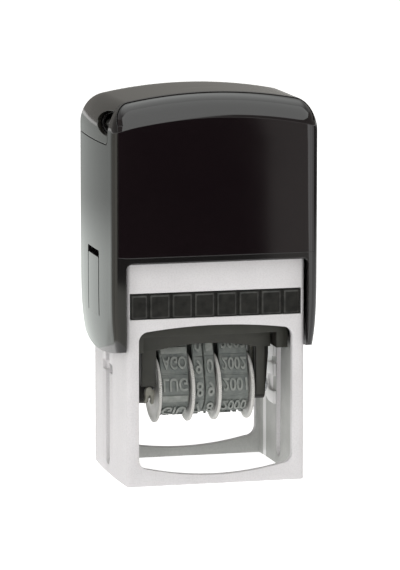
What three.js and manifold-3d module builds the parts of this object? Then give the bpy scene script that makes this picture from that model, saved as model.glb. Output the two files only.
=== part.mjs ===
// Self-inking date stamp, as an assembly of separate pieces.
// Millimetres, +Z up, front towards -Y, origin at the middle of the frame's foot.
// The stamp stands at rest: cap up, printing plate turned up under the ink pad.
import * as THREE from 'three';
import { mergeVertices } from 'three/addons/utils/BufferGeometryUtils.js';
import Module from 'manifold-3d';

const wasm = await Module();
wasm.setup();

// Clearances and overruns
const seatGap = 0.3;
const cutOverrun = 4;
const weldTolerance = 1e-5;
const jointOverlap = 0.4;

// Frame
const frameWidth = 53;
const frameDepth = 44.3;
const frameBulge = 0.75;
const frameHeight = 70.8;
const frameSideWall = 2.5;
const frameFaceWall = 2.2;
const frameFrontRadius = 1.2;
const frameRearRadius = 3;
const windowSideBar = 3.55;
const windowSill = 2.7;
const windowSillRise = 3.1;
const windowHeadBar = 2.3;
const windowHeadDrop = 1.7;
const windowCornerRadius = 3;
const pinSlotWidth = 4.8;
const pinSlotBottom = 2.8;
const pinSlotAbovePin = 4;
const crossLevel = 32;
const crossHeight = 2.8;
const crossReach = 6.2;
const crossDepth = 1;
const camProud = 1;
const camRadius = 6.1;
const camBandWidth = 3.8;
const camBack = 7.4;
const camLevel = 24.1;
const railBack = 11.6;
const railBottom = 32.3;
const seatLedgeReach = 0.75;
const seatLedgeHeight = 2;

// Ink cartridge
const trayClearance = 1.2;
const trayFaceMargin = 1.2;
const trayFaceHeight = 7.4;
const trayFaceThickness = 1.6;
const trayFaceInset = 0.15;
const trayTopThickness = 1.4;
const trayPanelCount = 8;
const trayGroovePitch = 6.65;
const trayGrooveWidth = 0.7;
const trayGrooveDepth = 0.6;
const padSideInset = 0.6;
const padOverhang = 0.5;
const padRecess = 0.8;

// Travel
const dieFaceRest = 48;
const dieReach = 8.5;

// Carriage
const carriageSideGap = 1.35;
const carriageDepth = 30.4;
const carriageFloor = 2.4;
const carriageRimWidth = 0.6;
const carriageRimLap = 0.7;
const endBlockWidth = 3.4;
const endBlockDrop = 4.6;
const pivotBossRadius = 2.8;
const skirtThickness = 1.4;
const skirtSetback = 4.7;
const archSideGap = 0.7;
const archSpringDrop = 4.9;
const archApexDrop = 3.2;
const armSetback = 4;
const armThickness = 3.4;
const armFront = 8;
const armBack = 3.2;
const armBelowAxle = 4.4;
const armFootRadius = 3;
const daterHoleHalfDepth = 6;

// Printing plate
const textPlateThickness = 1.2;
const rubberBase = 1;
const rubberRelief = 0.6;
const dateWindowMargin = 0.2;
const dateWindowHalfDepth = 4.9;
const borderWidth = 0.7;
const borderMargin = 1;
const textLineHeight = 2.4;
const textLinePitch = 3.4;
const textLineCount = 2;
const textLineShares = [0.86, 0.66];

// Date wheels and bands
const wheelRadius = 10.15;
const wheelThickness = 0.9;
const wheelInnerX = 4;
const wheelBack = -1.8;
const wheelBelowPivot = 14.2;
const drumRadius = 6.2;
const axleRadius = 1.5;
const axleHeadRadius = 2.4;
const axleHeadThickness = 0.8;
const hubGap = 0.3;
const bandThickness = 0.9;
const bandRelief = 0.6;
const bandCellCount = 12;
const bandCharacterHeight = 4;
const bandCharacterMargin = 0.5;
const platenHalfWidth = 2.5;
const platenThickness = 1.8;
const platenRound = 0.8;
const bridgeLegThickness = 0.9;
const bridgeLegGap = 0.65;
const bridgeLegWidth = 5;
const bridgeClawRadius = 3.1;
const bridgeClawMouth = 2.2;

// Cap
const capFaceGap = 0.75;
const capSideGap = 0.65;
const capBulge = 1.35;
const crownAboveYoke = 8.61;
const capWall = 2.2;
const capFrontRadius = 2.5;
const capRearRadius = 5;
const crownDrop = 3.8;
const crownSideShare = 0.8;
const crownSideDrop = 8.9;
const crownFrontRun = 8.2;
const crownFrontDrop = 6.9;
const crownRearRun = 17.2;
const cheekBelowPivot = 1.8;
const cheekEndRise = 2.7;
const cheekTaper = 2.3;
const cheekInnerTaper = 0.5;
const cornerTaper = 1.2;
const cornerInnerTaper = 0.6;
const taperPower = 4;
const taperSteps = 5;
const taperHeight = 23.1;
const cutoutSideGap = 0.6;
const cutoutAboveTray = 9.1;
const cutoutRadius = 1.5;
const coverThickness = 1.2;
const coverFrontSetback = 8.5;
const coverHeight = 14.7;
const coverSeamGap = 0.35;
const notchLength = 12;
const notchHalfHeight = 3.3;
const notchBelowTop = 8.71;
const notchLedge = 0.7;
const panelThickness = 0.8;
const panelSideMargin = 3.7;
const coverLedge = 1.4;
const panelSill = 2;
const latchHalfWidth = 6.6;
const latchAboveCheek = 10.7;
const latchHeight = 17.2;
const latchSlit = 0.55;
const latchOpening = 2;

// Yoke, pins and spring
const legClearance = 0.3;
const legThickness = 1.1;
const legHalfWidth = 4.5;
const legFootRadius = 1.95;
const pinRadius = 1.5;
const pinReach = 2.6;
const pinCollarRadius = 2;
const yokeClearance = 2;
const yokeThickness = 2;
const yokeShoulder = 1.2;
const yokeHalfDepth = 7.5;
const bossRadius = 2.6;
const bossSpacing = 28;
const seatThickness = 2;
const seatHalfDepth = 9;
const postRadius = 3.1;
const postProud = 0.4;
const coilRadius = 5.2;
const wireDiameter = 1.3;
const coilTurns = 8;
const coilSteps = 8;
const wireSides = 5;

// Fineness of round stretches
const roundSegments = 40;
const holeSegments = 20;
const cornerSteps = 4;
const sideSteps = 8;
const crownSteps = 5;
const crownRings = 3;
const faceSteps = 8;

// Colours seen in the photo
const frameGrey = new THREE.MeshStandardMaterial({ color: 0xd3d0d0, roughness: 0.55 });
const capBlack = new THREE.MeshStandardMaterial({ color: 0x121012, roughness: 0.12 });
const coverBlack = new THREE.MeshStandardMaterial({ color: 0x1a1918, roughness: 0.16 });
const trayBlack = new THREE.MeshStandardMaterial({ color: 0x2b2c2a, roughness: 0.4 });
const padInk = new THREE.MeshStandardMaterial({ color: 0x1c1d26, roughness: 0.95 });
const carriageOlive = new THREE.MeshStandardMaterial({ color: 0x35342f, roughness: 0.45 });
const wheelGrey = new THREE.MeshStandardMaterial({ color: 0xc6c4c2, roughness: 0.5 });
const bandRubber = new THREE.MeshStandardMaterial({ color: 0x6a6e6c, roughness: 0.7 });
const textRubberGrey = new THREE.MeshStandardMaterial({ color: 0x55524e, roughness: 0.75 });
const steel = new THREE.MeshStandardMaterial({ color: 0xb9bcc0, roughness: 0.3, metalness: 1 });

// Frame, derived
const frameFront = -frameDepth / 2;
const frameHalfMid = frameWidth / 2 + frameBulge;
const frameInnerMid = frameHalfMid - frameSideWall;
const innerFront = frameFront + frameFaceWall;
const innerHalf = frameWidth / 2 - frameSideWall - frameBulge;
const windowWidth = frameWidth - 2 * windowSideBar;

// Printing plate and travel, derived
const pivotRest = dieFaceRest - dieReach;
const stroke = pivotRest - dieReach;
const rubberBottom = dieFaceRest - rubberRelief - rubberBase;
const textPlateBottom = rubberBottom - textPlateThickness;

// Carriage, derived
const carriageHalfWidth = frameInnerMid - carriageSideGap;
const carriageHalfDepth = carriageDepth / 2;
const carriageUnderside = textPlateBottom - carriageFloor;
const carriageRimTop = rubberBottom + carriageRimLap;
const endBlockBottom = carriageUnderside - endBlockDrop;
const archSpring = carriageUnderside - archSpringDrop;
const archApex = carriageUnderside - archApexDrop;
const wheelLevel = pivotRest - wheelBelowPivot;
const armOutside = carriageHalfWidth - armSetback;
const armInside = armOutside - armThickness;
const archHalfWidth = armInside - archSideGap;
const wheelOuterX = armInside - bridgeLegThickness - bridgeLegGap - wheelThickness / 2;
const dateWindowHalfWidth = wheelOuterX + dateWindowMargin;
const armBottom = wheelLevel - armBelowAxle;
const platenTop = dieFaceRest - bandRelief - bandThickness - seatGap;

// Ink cartridge, derived
const trayBottom = dieFaceRest + trayClearance;
const trayTop = trayBottom + trayFaceHeight;
const trayFaceWidth = frameWidth - 2 * trayFaceMargin;
const padWidth = 2 * (carriageHalfWidth - padSideInset);
const padDepth = carriageDepth + 2 * padOverhang;
const padBottom = trayBottom + padRecess;
const windowHead = trayBottom - windowHeadBar;

// Yoke and spring, derived
const seatBottom = trayTop + seatGap + seatGap;
const seatTop = seatBottom + seatThickness;
const yokeBottom = frameHeight + stroke + yokeClearance;
const yokeTop = yokeBottom + yokeThickness;
const legInside = frameHalfMid + legClearance;
const legOutside = legInside + legThickness;

// Cap, derived
const capHalfWidth = legOutside + capSideGap + capWall;
const capDepth = frameDepth + 2 * (capFaceGap + capWall);
const capFront = -capDepth / 2;
const capTop = yokeTop + crownAboveYoke;
const cheekLow = pivotRest - cheekBelowPivot;
const cheekEnd = cheekLow + cheekEndRise;
const taperStart = cheekLow + taperHeight;
const cutoutHalfWidth = frameWidth / 2 + cutoutSideGap;
const cutoutTop = trayTop + cutoutAboveTray;
const coverFront = capDepth / 2 - coverFrontSetback;
const coverSeam = capTop - coverHeight;
const notchLevel = capTop - notchBelowTop;
const panelHalfWidth = capHalfWidth - panelSideMargin;
const panelTopEdge = coverFront + coverLedge;
const panelBottom = cutoutTop + panelSill;
const latchBottom = cheekLow + latchAboveCheek;
const latchTop = latchBottom + latchHeight;

// Solids

function toSolid(geometry) {
  const bare = geometry.clone();
  bare.deleteAttribute('normal');
  bare.deleteAttribute('uv');
  const merged = mergeVertices(bare, weldTolerance);
  const vertProperties = new Float32Array(merged.attributes.position.array);
  const corners = merged.index.array;
  const kept = [];
  for (let i = 0; i < corners.length; i += 3) {
    const [a, b, c] = corners.slice(i, i + 3);
    if (a !== b && b !== c && c !== a) kept.push(a, b, c);
  }
  const triVerts = new Uint32Array(kept);
  return new wasm.Manifold(new wasm.Mesh({ numProp: 3, vertProperties, triVerts }));
}

function toMesh(name, solid, material) {
  const data = solid.getMesh();
  const geometry = new THREE.BufferGeometry();
  geometry.setAttribute('position', new THREE.BufferAttribute(data.vertProperties, 3));
  geometry.setIndex(new THREE.BufferAttribute(data.triVerts, 1));
  geometry.computeVertexNormals();
  const mesh = new THREE.Mesh(geometry, material);
  mesh.name = name;
  return mesh;
}

function join(...solids) {
  return solids.reduce((sum, solid) => sum.add(solid));
}

function box(x0, x1, y0, y1, z0, z1) {
  const geometry = new THREE.BoxGeometry(x1 - x0, y1 - y0, z1 - z0);
  geometry.translate((x0 + x1) / 2, (y0 + y1) / 2, (z0 + z1) / 2);
  return toSolid(geometry);
}

// A shape drawn in the two axes after the named one, pushed out along the named axis.
function prism(axis, shape, from, to) {
  const geometry = new THREE.ExtrudeGeometry(shape, {
    depth: to - from, bevelEnabled: false, curveSegments: cornerSteps,
  });
  geometry.translate(0, 0, from);
  const x = new THREE.Vector3(1, 0, 0);
  const y = new THREE.Vector3(0, 1, 0);
  const z = new THREE.Vector3(0, 0, 1);
  if (axis === 'x') geometry.applyMatrix4(new THREE.Matrix4().makeBasis(y, z, x));
  if (axis === 'y') {
    geometry.translate(0, 0, -from - to);
    geometry.applyMatrix4(new THREE.Matrix4().makeBasis(x, z, y.negate()));
  }
  return toSolid(geometry);
}

function shapeOf(points) {
  return new THREE.Shape(points.map(([u, v]) => new THREE.Vector2(u, v)));
}

function disc(axis, radius, u, v, from, to, segments = roundSegments) {
  const shape = new THREE.Shape(new THREE.Path().absarc(u, v, radius, 0, 2 * Math.PI)
    .getSpacedPoints(segments).slice(1));
  return prism(axis, shape, from, to);
}

function arcPoints(u, v, radius, start, end, steps) {
  const points = [];
  for (let i = 0; i <= steps; i += 1) {
    const angle = start + ((end - start) * i) / steps;
    points.push([u + radius * Math.cos(angle), v + radius * Math.sin(angle)]);
  }
  return points;
}

function roundedRectangle(u0, u1, v0, v1, radius) {
  const quarter = Math.PI / 2;
  return shapeOf([
    ...arcPoints(u1 - radius, v0 + radius, radius, -quarter, 0, cornerSteps),
    ...arcPoints(u1 - radius, v1 - radius, radius, 0, quarter, cornerSteps),
    ...arcPoints(u0 + radius, v1 - radius, radius, quarter, 2 * quarter, cornerSteps),
    ...arcPoints(u0 + radius, v0 + radius, radius, 2 * quarter, 3 * quarter, cornerSteps),
  ]);
}

function mirroredX(solid) {
  return solid.mirror([1, 0, 0]);
}

function bothSides(solid) {
  return solid.add(mirroredX(solid));
}

// Plan outline of a box with flat ends and bowed sides, counter-clockwise from the front left.
function bowedOutline(size, inset) {
  const half = size.depth / 2;
  const sideAt = (y) => size.halfWidth - size.bulge * (y / half) ** 2 - inset;
  const slopeAt = (y) => Math.atan((2 * size.bulge * y) / half ** 2);
  const right = [];
  for (const [radius, sign] of [[size.frontRadius, -1], [size.rearRadius, 1]]) {
    const round = Math.max(radius - inset, size.leastRadius);
    const level = sign * (half - inset - round);
    const lean = slopeAt(level);
    const centre = [sideAt(level) - round * Math.cos(lean), level];
    const quarter = (sign * Math.PI) / 2;
    right.push(sign < 0
      ? arcPoints(...centre, round, quarter, lean, cornerSteps)
      : arcPoints(...centre, round, lean, quarter, cornerSteps));
  }
  const [frontArc, rearArc] = right;
  const start = frontArc[frontArc.length - 1][1];
  const end = rearArc[0][1];
  const side = [];
  for (let i = 1; i < sideSteps; i += 1) {
    const y = start + ((end - start) * i) / sideSteps;
    side.push([sideAt(y), y]);
  }
  const rightHalf = [...frontArc, ...side, ...rearArc];
  const leftHalf = rightHalf.map(([x, y]) => [-x, y]).reverse();
  const across = (from, to, y) => {
    const points = [];
    for (let i = 1; i < faceSteps; i += 1) points.push([from + ((to - from) * i) / faceSteps, y]);
    return points;
  };
  const frontX = frontArc[0][0];
  const rearX = rearArc[rearArc.length - 1][0];
  return [
    ...rightHalf, ...across(rearX, -rearX, half - inset),
    ...leftHalf, ...across(-frontX, frontX, inset - half),
  ];
}

// Closed skin over rings of equal count, with a point fan at each end.
function loft(rings) {
  const count = rings[0].length;
  const positions = rings.flat(2);
  const middle = (ring) => [0, 1, 2].map((k) => ring.reduce((sum, p) => sum + p[k], 0) / count);
  positions.push(...middle(rings[0]), ...middle(rings[rings.length - 1]));
  const bottom = rings.length * count;
  const index = [];
  for (let i = 0; i < count; i += 1) {
    const next = (i + 1) % count;
    index.push(bottom, next, i);
    for (let r = 0; r + 1 < rings.length; r += 1) {
      const a = r * count;
      const b = a + count;
      index.push(a + i, a + next, b + next, a + i, b + next, b + i);
    }
    const last = (rings.length - 1) * count;
    index.push(bottom + 1, last + i, last + next);
  }
  const geometry = new THREE.BufferGeometry();
  geometry.setAttribute('position', new THREE.BufferAttribute(new Float32Array(positions), 3));
  geometry.setIndex(index);
  return toSolid(geometry);
}

// Frame

const frameSize = {
  depth: frameDepth, halfWidth: frameHalfMid, bulge: frameBulge,
  frontRadius: frameFrontRadius, rearRadius: frameRearRadius, leastRadius: frameFrontRadius / 2,
};

// Front and rear walls are thinner than the side walls, so the hollow is squared off to them.
function frameTube() {
  const outer = prism('z', shapeOf(bowedOutline(frameSize, 0)), 0, frameHeight);
  const hollow = prism('z', shapeOf(bowedOutline(frameSize, frameSideWall)), -cutOverrun,
    frameHeight + cutOverrun);
  const thinning = box(frameSideWall - frameWidth / 2, frameWidth / 2 - frameSideWall,
    innerFront, -innerFront, -cutOverrun, frameHeight + cutOverrun);
  return outer.subtract(hollow).subtract(thinning);
}

function windowShape() {
  const half = windowWidth / 2;
  const points = [];
  const turn = windowCornerRadius;
  const sillAt = (x) => windowSill + windowSillRise * (x / half) ** 2;
  const headAt = (x) => windowHead - windowHeadDrop * (x / half) ** 2;
  const flat = half - turn;
  for (let i = 0; i <= 2 * faceSteps; i += 1) {
    const x = -flat + (2 * flat * i) / (2 * faceSteps);
    points.push([x, sillAt(x)]);
  }
  const quarter = Math.PI / 2;
  points.push(...arcPoints(flat, sillAt(flat) + turn, turn, -quarter, 0, cornerSteps).slice(1));
  points.push(...arcPoints(flat, headAt(flat) - turn, turn, 0, quarter, cornerSteps));
  for (let i = 1; i < 2 * faceSteps; i += 1) {
    const x = flat - (2 * flat * i) / (2 * faceSteps);
    points.push([x, headAt(x)]);
  }
  points.push(...arcPoints(-flat, headAt(flat) - turn, turn, quarter, 2 * quarter, cornerSteps));
  points.push(...arcPoints(-flat, sillAt(flat) + turn, turn, 2 * quarter, 3 * quarter,
    cornerSteps).slice(0, -1));
  return shapeOf(points);
}

function pinSlots() {
  const half = pinSlotWidth / 2;
  const reach = frameHalfMid + cutOverrun;
  const top = pivotRest + pinSlotAbovePin;
  const slot = prism('x', roundedRectangle(-half, half, pinSlotBottom, top, half), -reach, reach);
  const cross = box(-reach, reach, -crossReach, crossReach,
    crossLevel - crossHeight / 2, crossLevel + crossHeight / 2);
  const middle = box(-innerHalf, innerHalf, -capDepth, capDepth, 0, frameHeight);
  const crossInside = frameHalfMid - crossDepth;
  const notches = cross.subtract(box(-crossInside, crossInside, -capDepth, capDepth, 0,
    frameHeight));
  return slot.subtract(middle).add(notches);
}

// Hook-shaped cam on each side wall that turns the carriage over, and the rail above it.
function turningCams() {
  const inside = frameInnerMid;
  const inner = camRadius - camBandWidth;
  const quarter = Math.PI / 2;
  const front = pinSlotWidth / 2 + seatGap;
  const steps = roundSegments / 2;
  const hook = shapeOf([
    [front, camLevel - camRadius],
    ...arcPoints(camBack, camLevel, camRadius, -quarter, quarter, steps),
    [front, camLevel + camRadius],
    [front, camLevel + inner],
    ...arcPoints(camBack, camLevel, inner, quarter, -quarter, steps),
    [front, camLevel - inner],
  ]);
  const rail = box(inside - camProud, inside + jointOverlap, front, railBack, railBottom,
    windowHead);
  return bothSides(prism('x', hook, inside - camProud, inside + jointOverlap).add(rail));
}

function seatLedges() {
  const inside = frameHalfMid - frameSideWall;
  return bothSides(box(inside - seatLedgeReach, inside + jointOverlap, -seatHalfDepth,
    seatHalfDepth, seatBottom - seatLedgeHeight, seatBottom));
}

function makeFrame() {
  const through = capDepth;
  const window = prism('y', windowShape(), -through, through);
  const traySlot = box(-trayFaceWidth / 2 - seatGap, trayFaceWidth / 2 + seatGap, -through, through,
    trayBottom, trayTop + seatGap);
  return frameTube().subtract(window).subtract(traySlot).subtract(pinSlots())
    .add(turningCams())
    .add(seatLedges());
}

// Ink cartridge

function makeTray() {
  const front = frameFront + trayFaceInset;
  const bodyHalf = frameWidth / 2 - frameSideWall - seatGap;
  const body = box(-bodyHalf, bodyHalf, front, -front, trayBottom, trayTop);
  const faceHalf = trayFaceWidth / 2;
  const faces = join(
    box(-faceHalf, faceHalf, front, front + trayFaceThickness, trayBottom, trayTop),
    box(-faceHalf, faceHalf, -front - trayFaceThickness, -front, trayBottom, trayTop),
  );
  const pocket = box(-padWidth / 2 - seatGap, padWidth / 2 + seatGap, -padDepth / 2 - seatGap,
    padDepth / 2 + seatGap, trayBottom - cutOverrun, trayTop - trayTopThickness);
  let tray = body.add(faces).subtract(pocket);
  for (let i = 1; i < trayPanelCount; i += 1) {
    const x = (i - trayPanelCount / 2) * trayGroovePitch;
    const half = trayGrooveWidth / 2;
    for (const y of [front, -front]) {
      tray = tray.subtract(box(x - half, x + half, y - trayGrooveDepth, y + trayGrooveDepth,
        trayBottom - cutOverrun, trayTop + cutOverrun));
    }
  }
  return tray;
}

function makePad() {
  return box(-padWidth / 2, padWidth / 2, -padDepth / 2, padDepth / 2, padBottom,
    trayTop - trayTopThickness);
}

// Cap

const capSize = {
  depth: capDepth, halfWidth: capHalfWidth, bulge: capBulge,
  frontRadius: capFrontRadius, rearRadius: capRearRadius, leastRadius: capFrontRadius / 4,
};

// The cap's outer form, or the form a given depth inside it.
function capForm(inset) {
  const outline = bowedOutline(capSize, inset);
  const coreFront = capFront + crownFrontRun;
  const coreRear = -capFront - crownRearRun;
  const coreSide = capHalfWidth * crownSideShare;
  const crownAt = (x) => capTop - inset - crownDrop * (x / capHalfWidth) ** 2;
  const clamp = THREE.MathUtils.clamp;
  const rings = [];
  const fullTaper = inset > 0 ? cheekInnerTaper : cheekTaper;
  const endTaper = inset > 0 ? cornerInnerTaper : cornerTaper;
  for (let k = 0; k <= taperSteps; k += 1) {
    const share = 1 - (k / taperSteps) ** 2;
    const z = taperStart - (taperStart - cheekLow + cutOverrun) * share;
    rings.push(outline.map(([x, y]) => {
      const towardsEnd = (y / capFront) ** 2;
      const taper = fullTaper * share ** taperPower + endTaper * share ** 2 * towardsEnd;
      return [x * (1 - taper / capHalfWidth), y, z];
    }));
  }
  const frames = outline.map(([x, y]) => {
    const core = [clamp(x, -coreSide, coreSide), clamp(y, coreFront, coreRear)];
    const frontShare = y < coreFront
      ? ((y - core[1]) / crownFrontRun) ** 2
        / (((y - core[1]) / crownFrontRun) ** 2 + ((x - core[0]) / (capHalfWidth - coreSide)) ** 2)
      : 0;
    const drop = crownSideDrop + (crownFrontDrop - crownSideDrop) * frontShare - inset;
    return { core, drop, out: [x, y] };
  });
  for (let k = 0; k <= crownSteps; k += 1) {
    const angle = (k / crownSteps) * (Math.PI / 2);
    rings.push(frames.map(({ core, drop, out }) => {
      const x = core[0] + (out[0] - core[0]) * Math.cos(angle);
      const y = core[1] + (out[1] - core[1]) * Math.cos(angle);
      return [x, y, crownAt(x) - drop * (1 - Math.sin(angle))];
    }));
  }
  const middle = (coreFront + coreRear) / 2;
  for (let k = 1; k <= crownRings; k += 1) {
    const share = 1 - k / (crownRings + 1);
    rings.push(frames.map(({ core }) => {
      const x = core[0] * share;
      return [x, middle + (core[1] - middle) * share, crownAt(x)];
    }));
  }
  return loft(rings);
}

const capOuter = capForm(0);
const capInner = capForm(capWall);
const wide = capHalfWidth + cutOverrun;
const high = capTop + cutOverrun;

function cheekCutter() {
  const half = capDepth / 2;
  const points = [];
  for (let i = 0; i <= 2 * sideSteps; i += 1) {
    const y = half * (1 - i / sideSteps);
    points.push([y, cheekLow + (cheekEnd - cheekLow) * (y / half) ** 2]);
  }
  points[0][0] += cutOverrun;
  points[points.length - 1][0] -= cutOverrun;
  const floor = cheekLow - 2 * cutOverrun;
  points.push([-half - cutOverrun, floor], [half + cutOverrun, floor]);
  return prism('x', shapeOf(points.reverse()), -wide, wide);
}

function cutoutCutter() {
  const shape = roundedRectangle(-cutoutHalfWidth, cutoutHalfWidth, 0, cutoutTop, cutoutRadius);
  return prism('y', shape, -capDepth, capDepth);
}

function coverRegion(clearance) {
  return box(-wide, wide, -coverFront - clearance, capDepth, coverSeam, high);
}

// Long finger notch that opens at the cover's front edge, on both shoulders.
function notchCutter(inset) {
  const quarter = Math.PI / 2;
  const length = notchLength - inset;
  const halfHeight = notchHalfHeight - inset;
  const mouth = -coverFront - coverSeamGap;
  const shape = shapeOf([
    ...arcPoints(0, 0, 1, -quarter, quarter, holeSegments)
      .map(([u, v]) => [length * u - coverFront, halfHeight * v + notchLevel]),
    [mouth, notchLevel + halfHeight],
    [mouth, notchLevel - halfHeight],
  ]);
  return prism('x', shape, -wide, wide)
    .subtract(box(-cutoutHalfWidth, cutoutHalfWidth, -capDepth, capDepth, 0, high));
}

function panelRegion(clearance) {
  return box(-panelHalfWidth - clearance, panelHalfWidth + clearance, -capDepth,
    -panelTopEdge + clearance, panelBottom, high);
}

function latchRegion(widen, bottom, top) {
  const half = latchHalfWidth + widen;
  return box(-wide, wide, -half, half, bottom, top)
    .subtract(box(-cutoutHalfWidth, cutoutHalfWidth, -capDepth, capDepth, 0, high));
}

function yokeBosses() {
  const one = disc('z', bossRadius, bossSpacing / 2, 0, yokeTop, capTop, holeSegments);
  return bothSides(one);
}

function makeCapShell() {
  const coverPocket = coverRegion(coverSeamGap).subtract(capForm(coverThickness + seatGap));
  const panelPocket = panelRegion(seatGap).subtract(capForm(panelThickness + seatGap));
  return capOuter.subtract(capInner)
    .subtract(cheekCutter())
    .subtract(cutoutCutter())
    .subtract(coverPocket)
    .subtract(panelPocket)
    .subtract(notchCutter(notchLedge))
    .subtract(latchRegion(latchSlit, latchBottom, latchTop + latchOpening))
    .add(yokeBosses().intersect(capOuter.subtract(coverRegion(coverSeamGap)
      .subtract(capForm(coverThickness + seatGap)))));
}

function makeTopCover() {
  return capOuter.intersect(coverRegion(0)).subtract(capForm(coverThickness))
    .subtract(notchCutter(0));
}

function makeFrontPanel() {
  return capOuter.intersect(panelRegion(0)).subtract(capForm(panelThickness));
}

function makeLatch(side) {
  const tongue = capOuter.subtract(capInner).intersect(latchRegion(0, latchBottom, latchTop));
  const half = box(0, wide, -capDepth, capDepth, 0, high);
  return side < 0 ? tongue.subtract(half) : tongue.intersect(half);
}

// Yoke, pins, spring and its seat

function makeYoke() {
  const legBottom = pivotRest - legFootRadius;
  const leg = prism('x', shapeOf([
    ...arcPoints(0, pivotRest, legFootRadius, -Math.PI, 0, cornerSteps * 2),
    [legHalfWidth, legBottom + legHalfWidth * 2],
    [legHalfWidth, yokeTop],
    [-legHalfWidth, yokeTop],
    [-legHalfWidth, legBottom + legHalfWidth * 2],
  ]), legInside, legOutside);
  const bar = box(-legOutside, legOutside, -yokeHalfDepth, yokeHalfDepth, yokeBottom, yokeTop);
  const pinHole = disc('x', pinRadius + seatGap, 0, pivotRest, -wide, wide, holeSegments);
  const shoulder = prism('y', shapeOf([
    [legOutside, yokeTop - yokeShoulder],
    [legOutside + cutOverrun, yokeTop - yokeShoulder],
    [legOutside + cutOverrun, yokeTop + cutOverrun],
    [legOutside - yokeShoulder, yokeTop + cutOverrun],
    [legOutside - yokeShoulder, yokeTop],
  ]), -wide, wide);
  return bar.add(bothSides(leg)).subtract(pinHole).subtract(bothSides(shoulder));
}

function makePin(side) {
  const inside = carriageHalfWidth - pinReach;
  const pin = join(
    disc('x', pinRadius, 0, pivotRest, inside, legOutside, holeSegments),
    disc('x', pinCollarRadius, 0, pivotRest, carriageHalfWidth, legInside, holeSegments),
  );
  return side < 0 ? mirroredX(pin) : pin;
}

function makeSpringSeat() {
  const half = frameHalfMid - frameSideWall - seatGap;
  const plate = box(-half, half, -seatHalfDepth, seatHalfDepth, seatBottom, seatTop);
  return plate.add(disc('z', postRadius, 0, 0, seatBottom, frameHeight + postProud, holeSegments));
}

function makeSpring() {
  const wire = wireDiameter / 2;
  const low = seatTop + wire / 2;
  const top = yokeBottom - wire / 2;
  const steps = coilTurns * coilSteps;
  const rings = [];
  const centres = [];
  for (let i = 0; i <= steps; i += 1) {
    const angle = (i / coilSteps) * 2 * Math.PI;
    const centre = new THREE.Vector3(coilRadius * Math.cos(angle), coilRadius * Math.sin(angle),
      low + ((top - low) * i) / steps);
    centres.push(centre);
    const out = new THREE.Vector3(Math.cos(angle), Math.sin(angle), 0);
    const ring = [];
    for (let k = 0; k < wireSides; k += 1) {
      const turn = (k / wireSides) * 2 * Math.PI;
      const point = centre.clone().addScaledVector(out, wire * Math.cos(turn));
      ring.push([point.x, point.y, point.z + wire * Math.sin(turn)]);
    }
    rings.push(ring.reverse());
  }
  let nearest = Infinity;
  centres.forEach((point, i) => {
    for (const other of centres.slice(i + coilSteps / 2)) {
      nearest = Math.min(nearest, point.distanceTo(other));
    }
  });
  console.log('least gap between the spring turns, mm', (nearest - wireDiameter).toFixed(2));
  return loft(rings).intersect(box(-wide, wide, -wide, wide, seatTop, yokeBottom));
}

// Carriage

function archShape() {
  const points = [[-armOutside, carriageUnderside], [-armOutside, archSpring],
    [-archHalfWidth, archSpring]];
  for (let i = 1; i < faceSteps; i += 1) {
    const share = (2 * i) / faceSteps - 1;
    points.push([archHalfWidth * share, archApex - (archApex - archSpring) * share ** 2]);
  }
  points.push([archHalfWidth, archSpring], [armOutside, archSpring],
    [armOutside, carriageUnderside]);
  return shapeOf(points);
}

function makeCarriage() {
  const floor = box(-carriageHalfWidth, carriageHalfWidth, -carriageHalfDepth, carriageHalfDepth,
    carriageUnderside, carriageRimTop);
  const bed = box(carriageRimWidth - carriageHalfWidth, carriageHalfWidth - carriageRimWidth,
    carriageRimWidth - carriageHalfDepth, carriageHalfDepth - carriageRimWidth,
    textPlateBottom, carriageRimTop + cutOverrun);
  const under = carriageUnderside + jointOverlap;
  const blockInside = carriageHalfWidth - endBlockWidth;
  const block = box(blockInside, carriageHalfWidth, -carriageHalfDepth, carriageHalfDepth,
    endBlockBottom, under);
  const boss = join(
    disc('x', pivotBossRadius, 0, pivotRest, blockInside, carriageHalfWidth),
    box(blockInside, carriageHalfWidth, -pivotBossRadius, pivotBossRadius, pivotRest, under),
  );
  const skirtFront = -carriageHalfDepth + skirtSetback;
  const skirt = prism('y', archShape(), skirtFront, skirtFront + skirtThickness);
  const skirts = skirt.add(skirt.mirror([0, 1, 0]));
  const skirtTie = box(-armOutside, armOutside, skirtFront, -skirtFront,
    carriageUnderside - jointOverlap, under);
  const arm = prism('x', shapeOf([
    ...arcPoints(wheelBack, armBottom + armFootRadius, armFootRadius, -Math.PI, 0, cornerSteps * 2),
    [armBack, wheelLevel + wheelRadius],
    [armBack, under],
    [-armFront, under],
    [-armFront, wheelLevel + wheelRadius],
  ]), armInside, armOutside);
  const axleHole = disc('x', axleRadius + seatGap, wheelBack, wheelLevel, -wide, wide,
    holeSegments);
  const pivotHole = disc('x', pinRadius + seatGap, 0, pivotRest, -wide, wide, holeSegments)
    .subtract(box(-armOutside, armOutside, -capDepth, capDepth, 0, high));
  const bandHole = box(-armInside, armInside, -daterHoleHalfDepth, daterHoleHalfDepth,
    carriageUnderside - jointOverlap - jointOverlap, carriageRimTop + cutOverrun);
  return floor.subtract(bed)
    .add(bothSides(join(block, boss, arm)))
    .add(skirts)
    .add(skirtTie)
    .subtract(bandHole)
    .subtract(axleHole)
    .subtract(pivotHole);
}

// Printing plate with its rubber

const plateHalfWidth = carriageHalfWidth - carriageRimWidth - seatGap;
const plateHalfDepth = carriageHalfDepth - carriageRimWidth - seatGap;

function dateWindow() {
  return box(-dateWindowHalfWidth, dateWindowHalfWidth, -dateWindowHalfDepth, dateWindowHalfDepth,
    0, high);
}

function makeTextPlate() {
  return box(-plateHalfWidth, plateHalfWidth, -plateHalfDepth, plateHalfDepth,
    textPlateBottom, rubberBottom).subtract(dateWindow());
}

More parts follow.
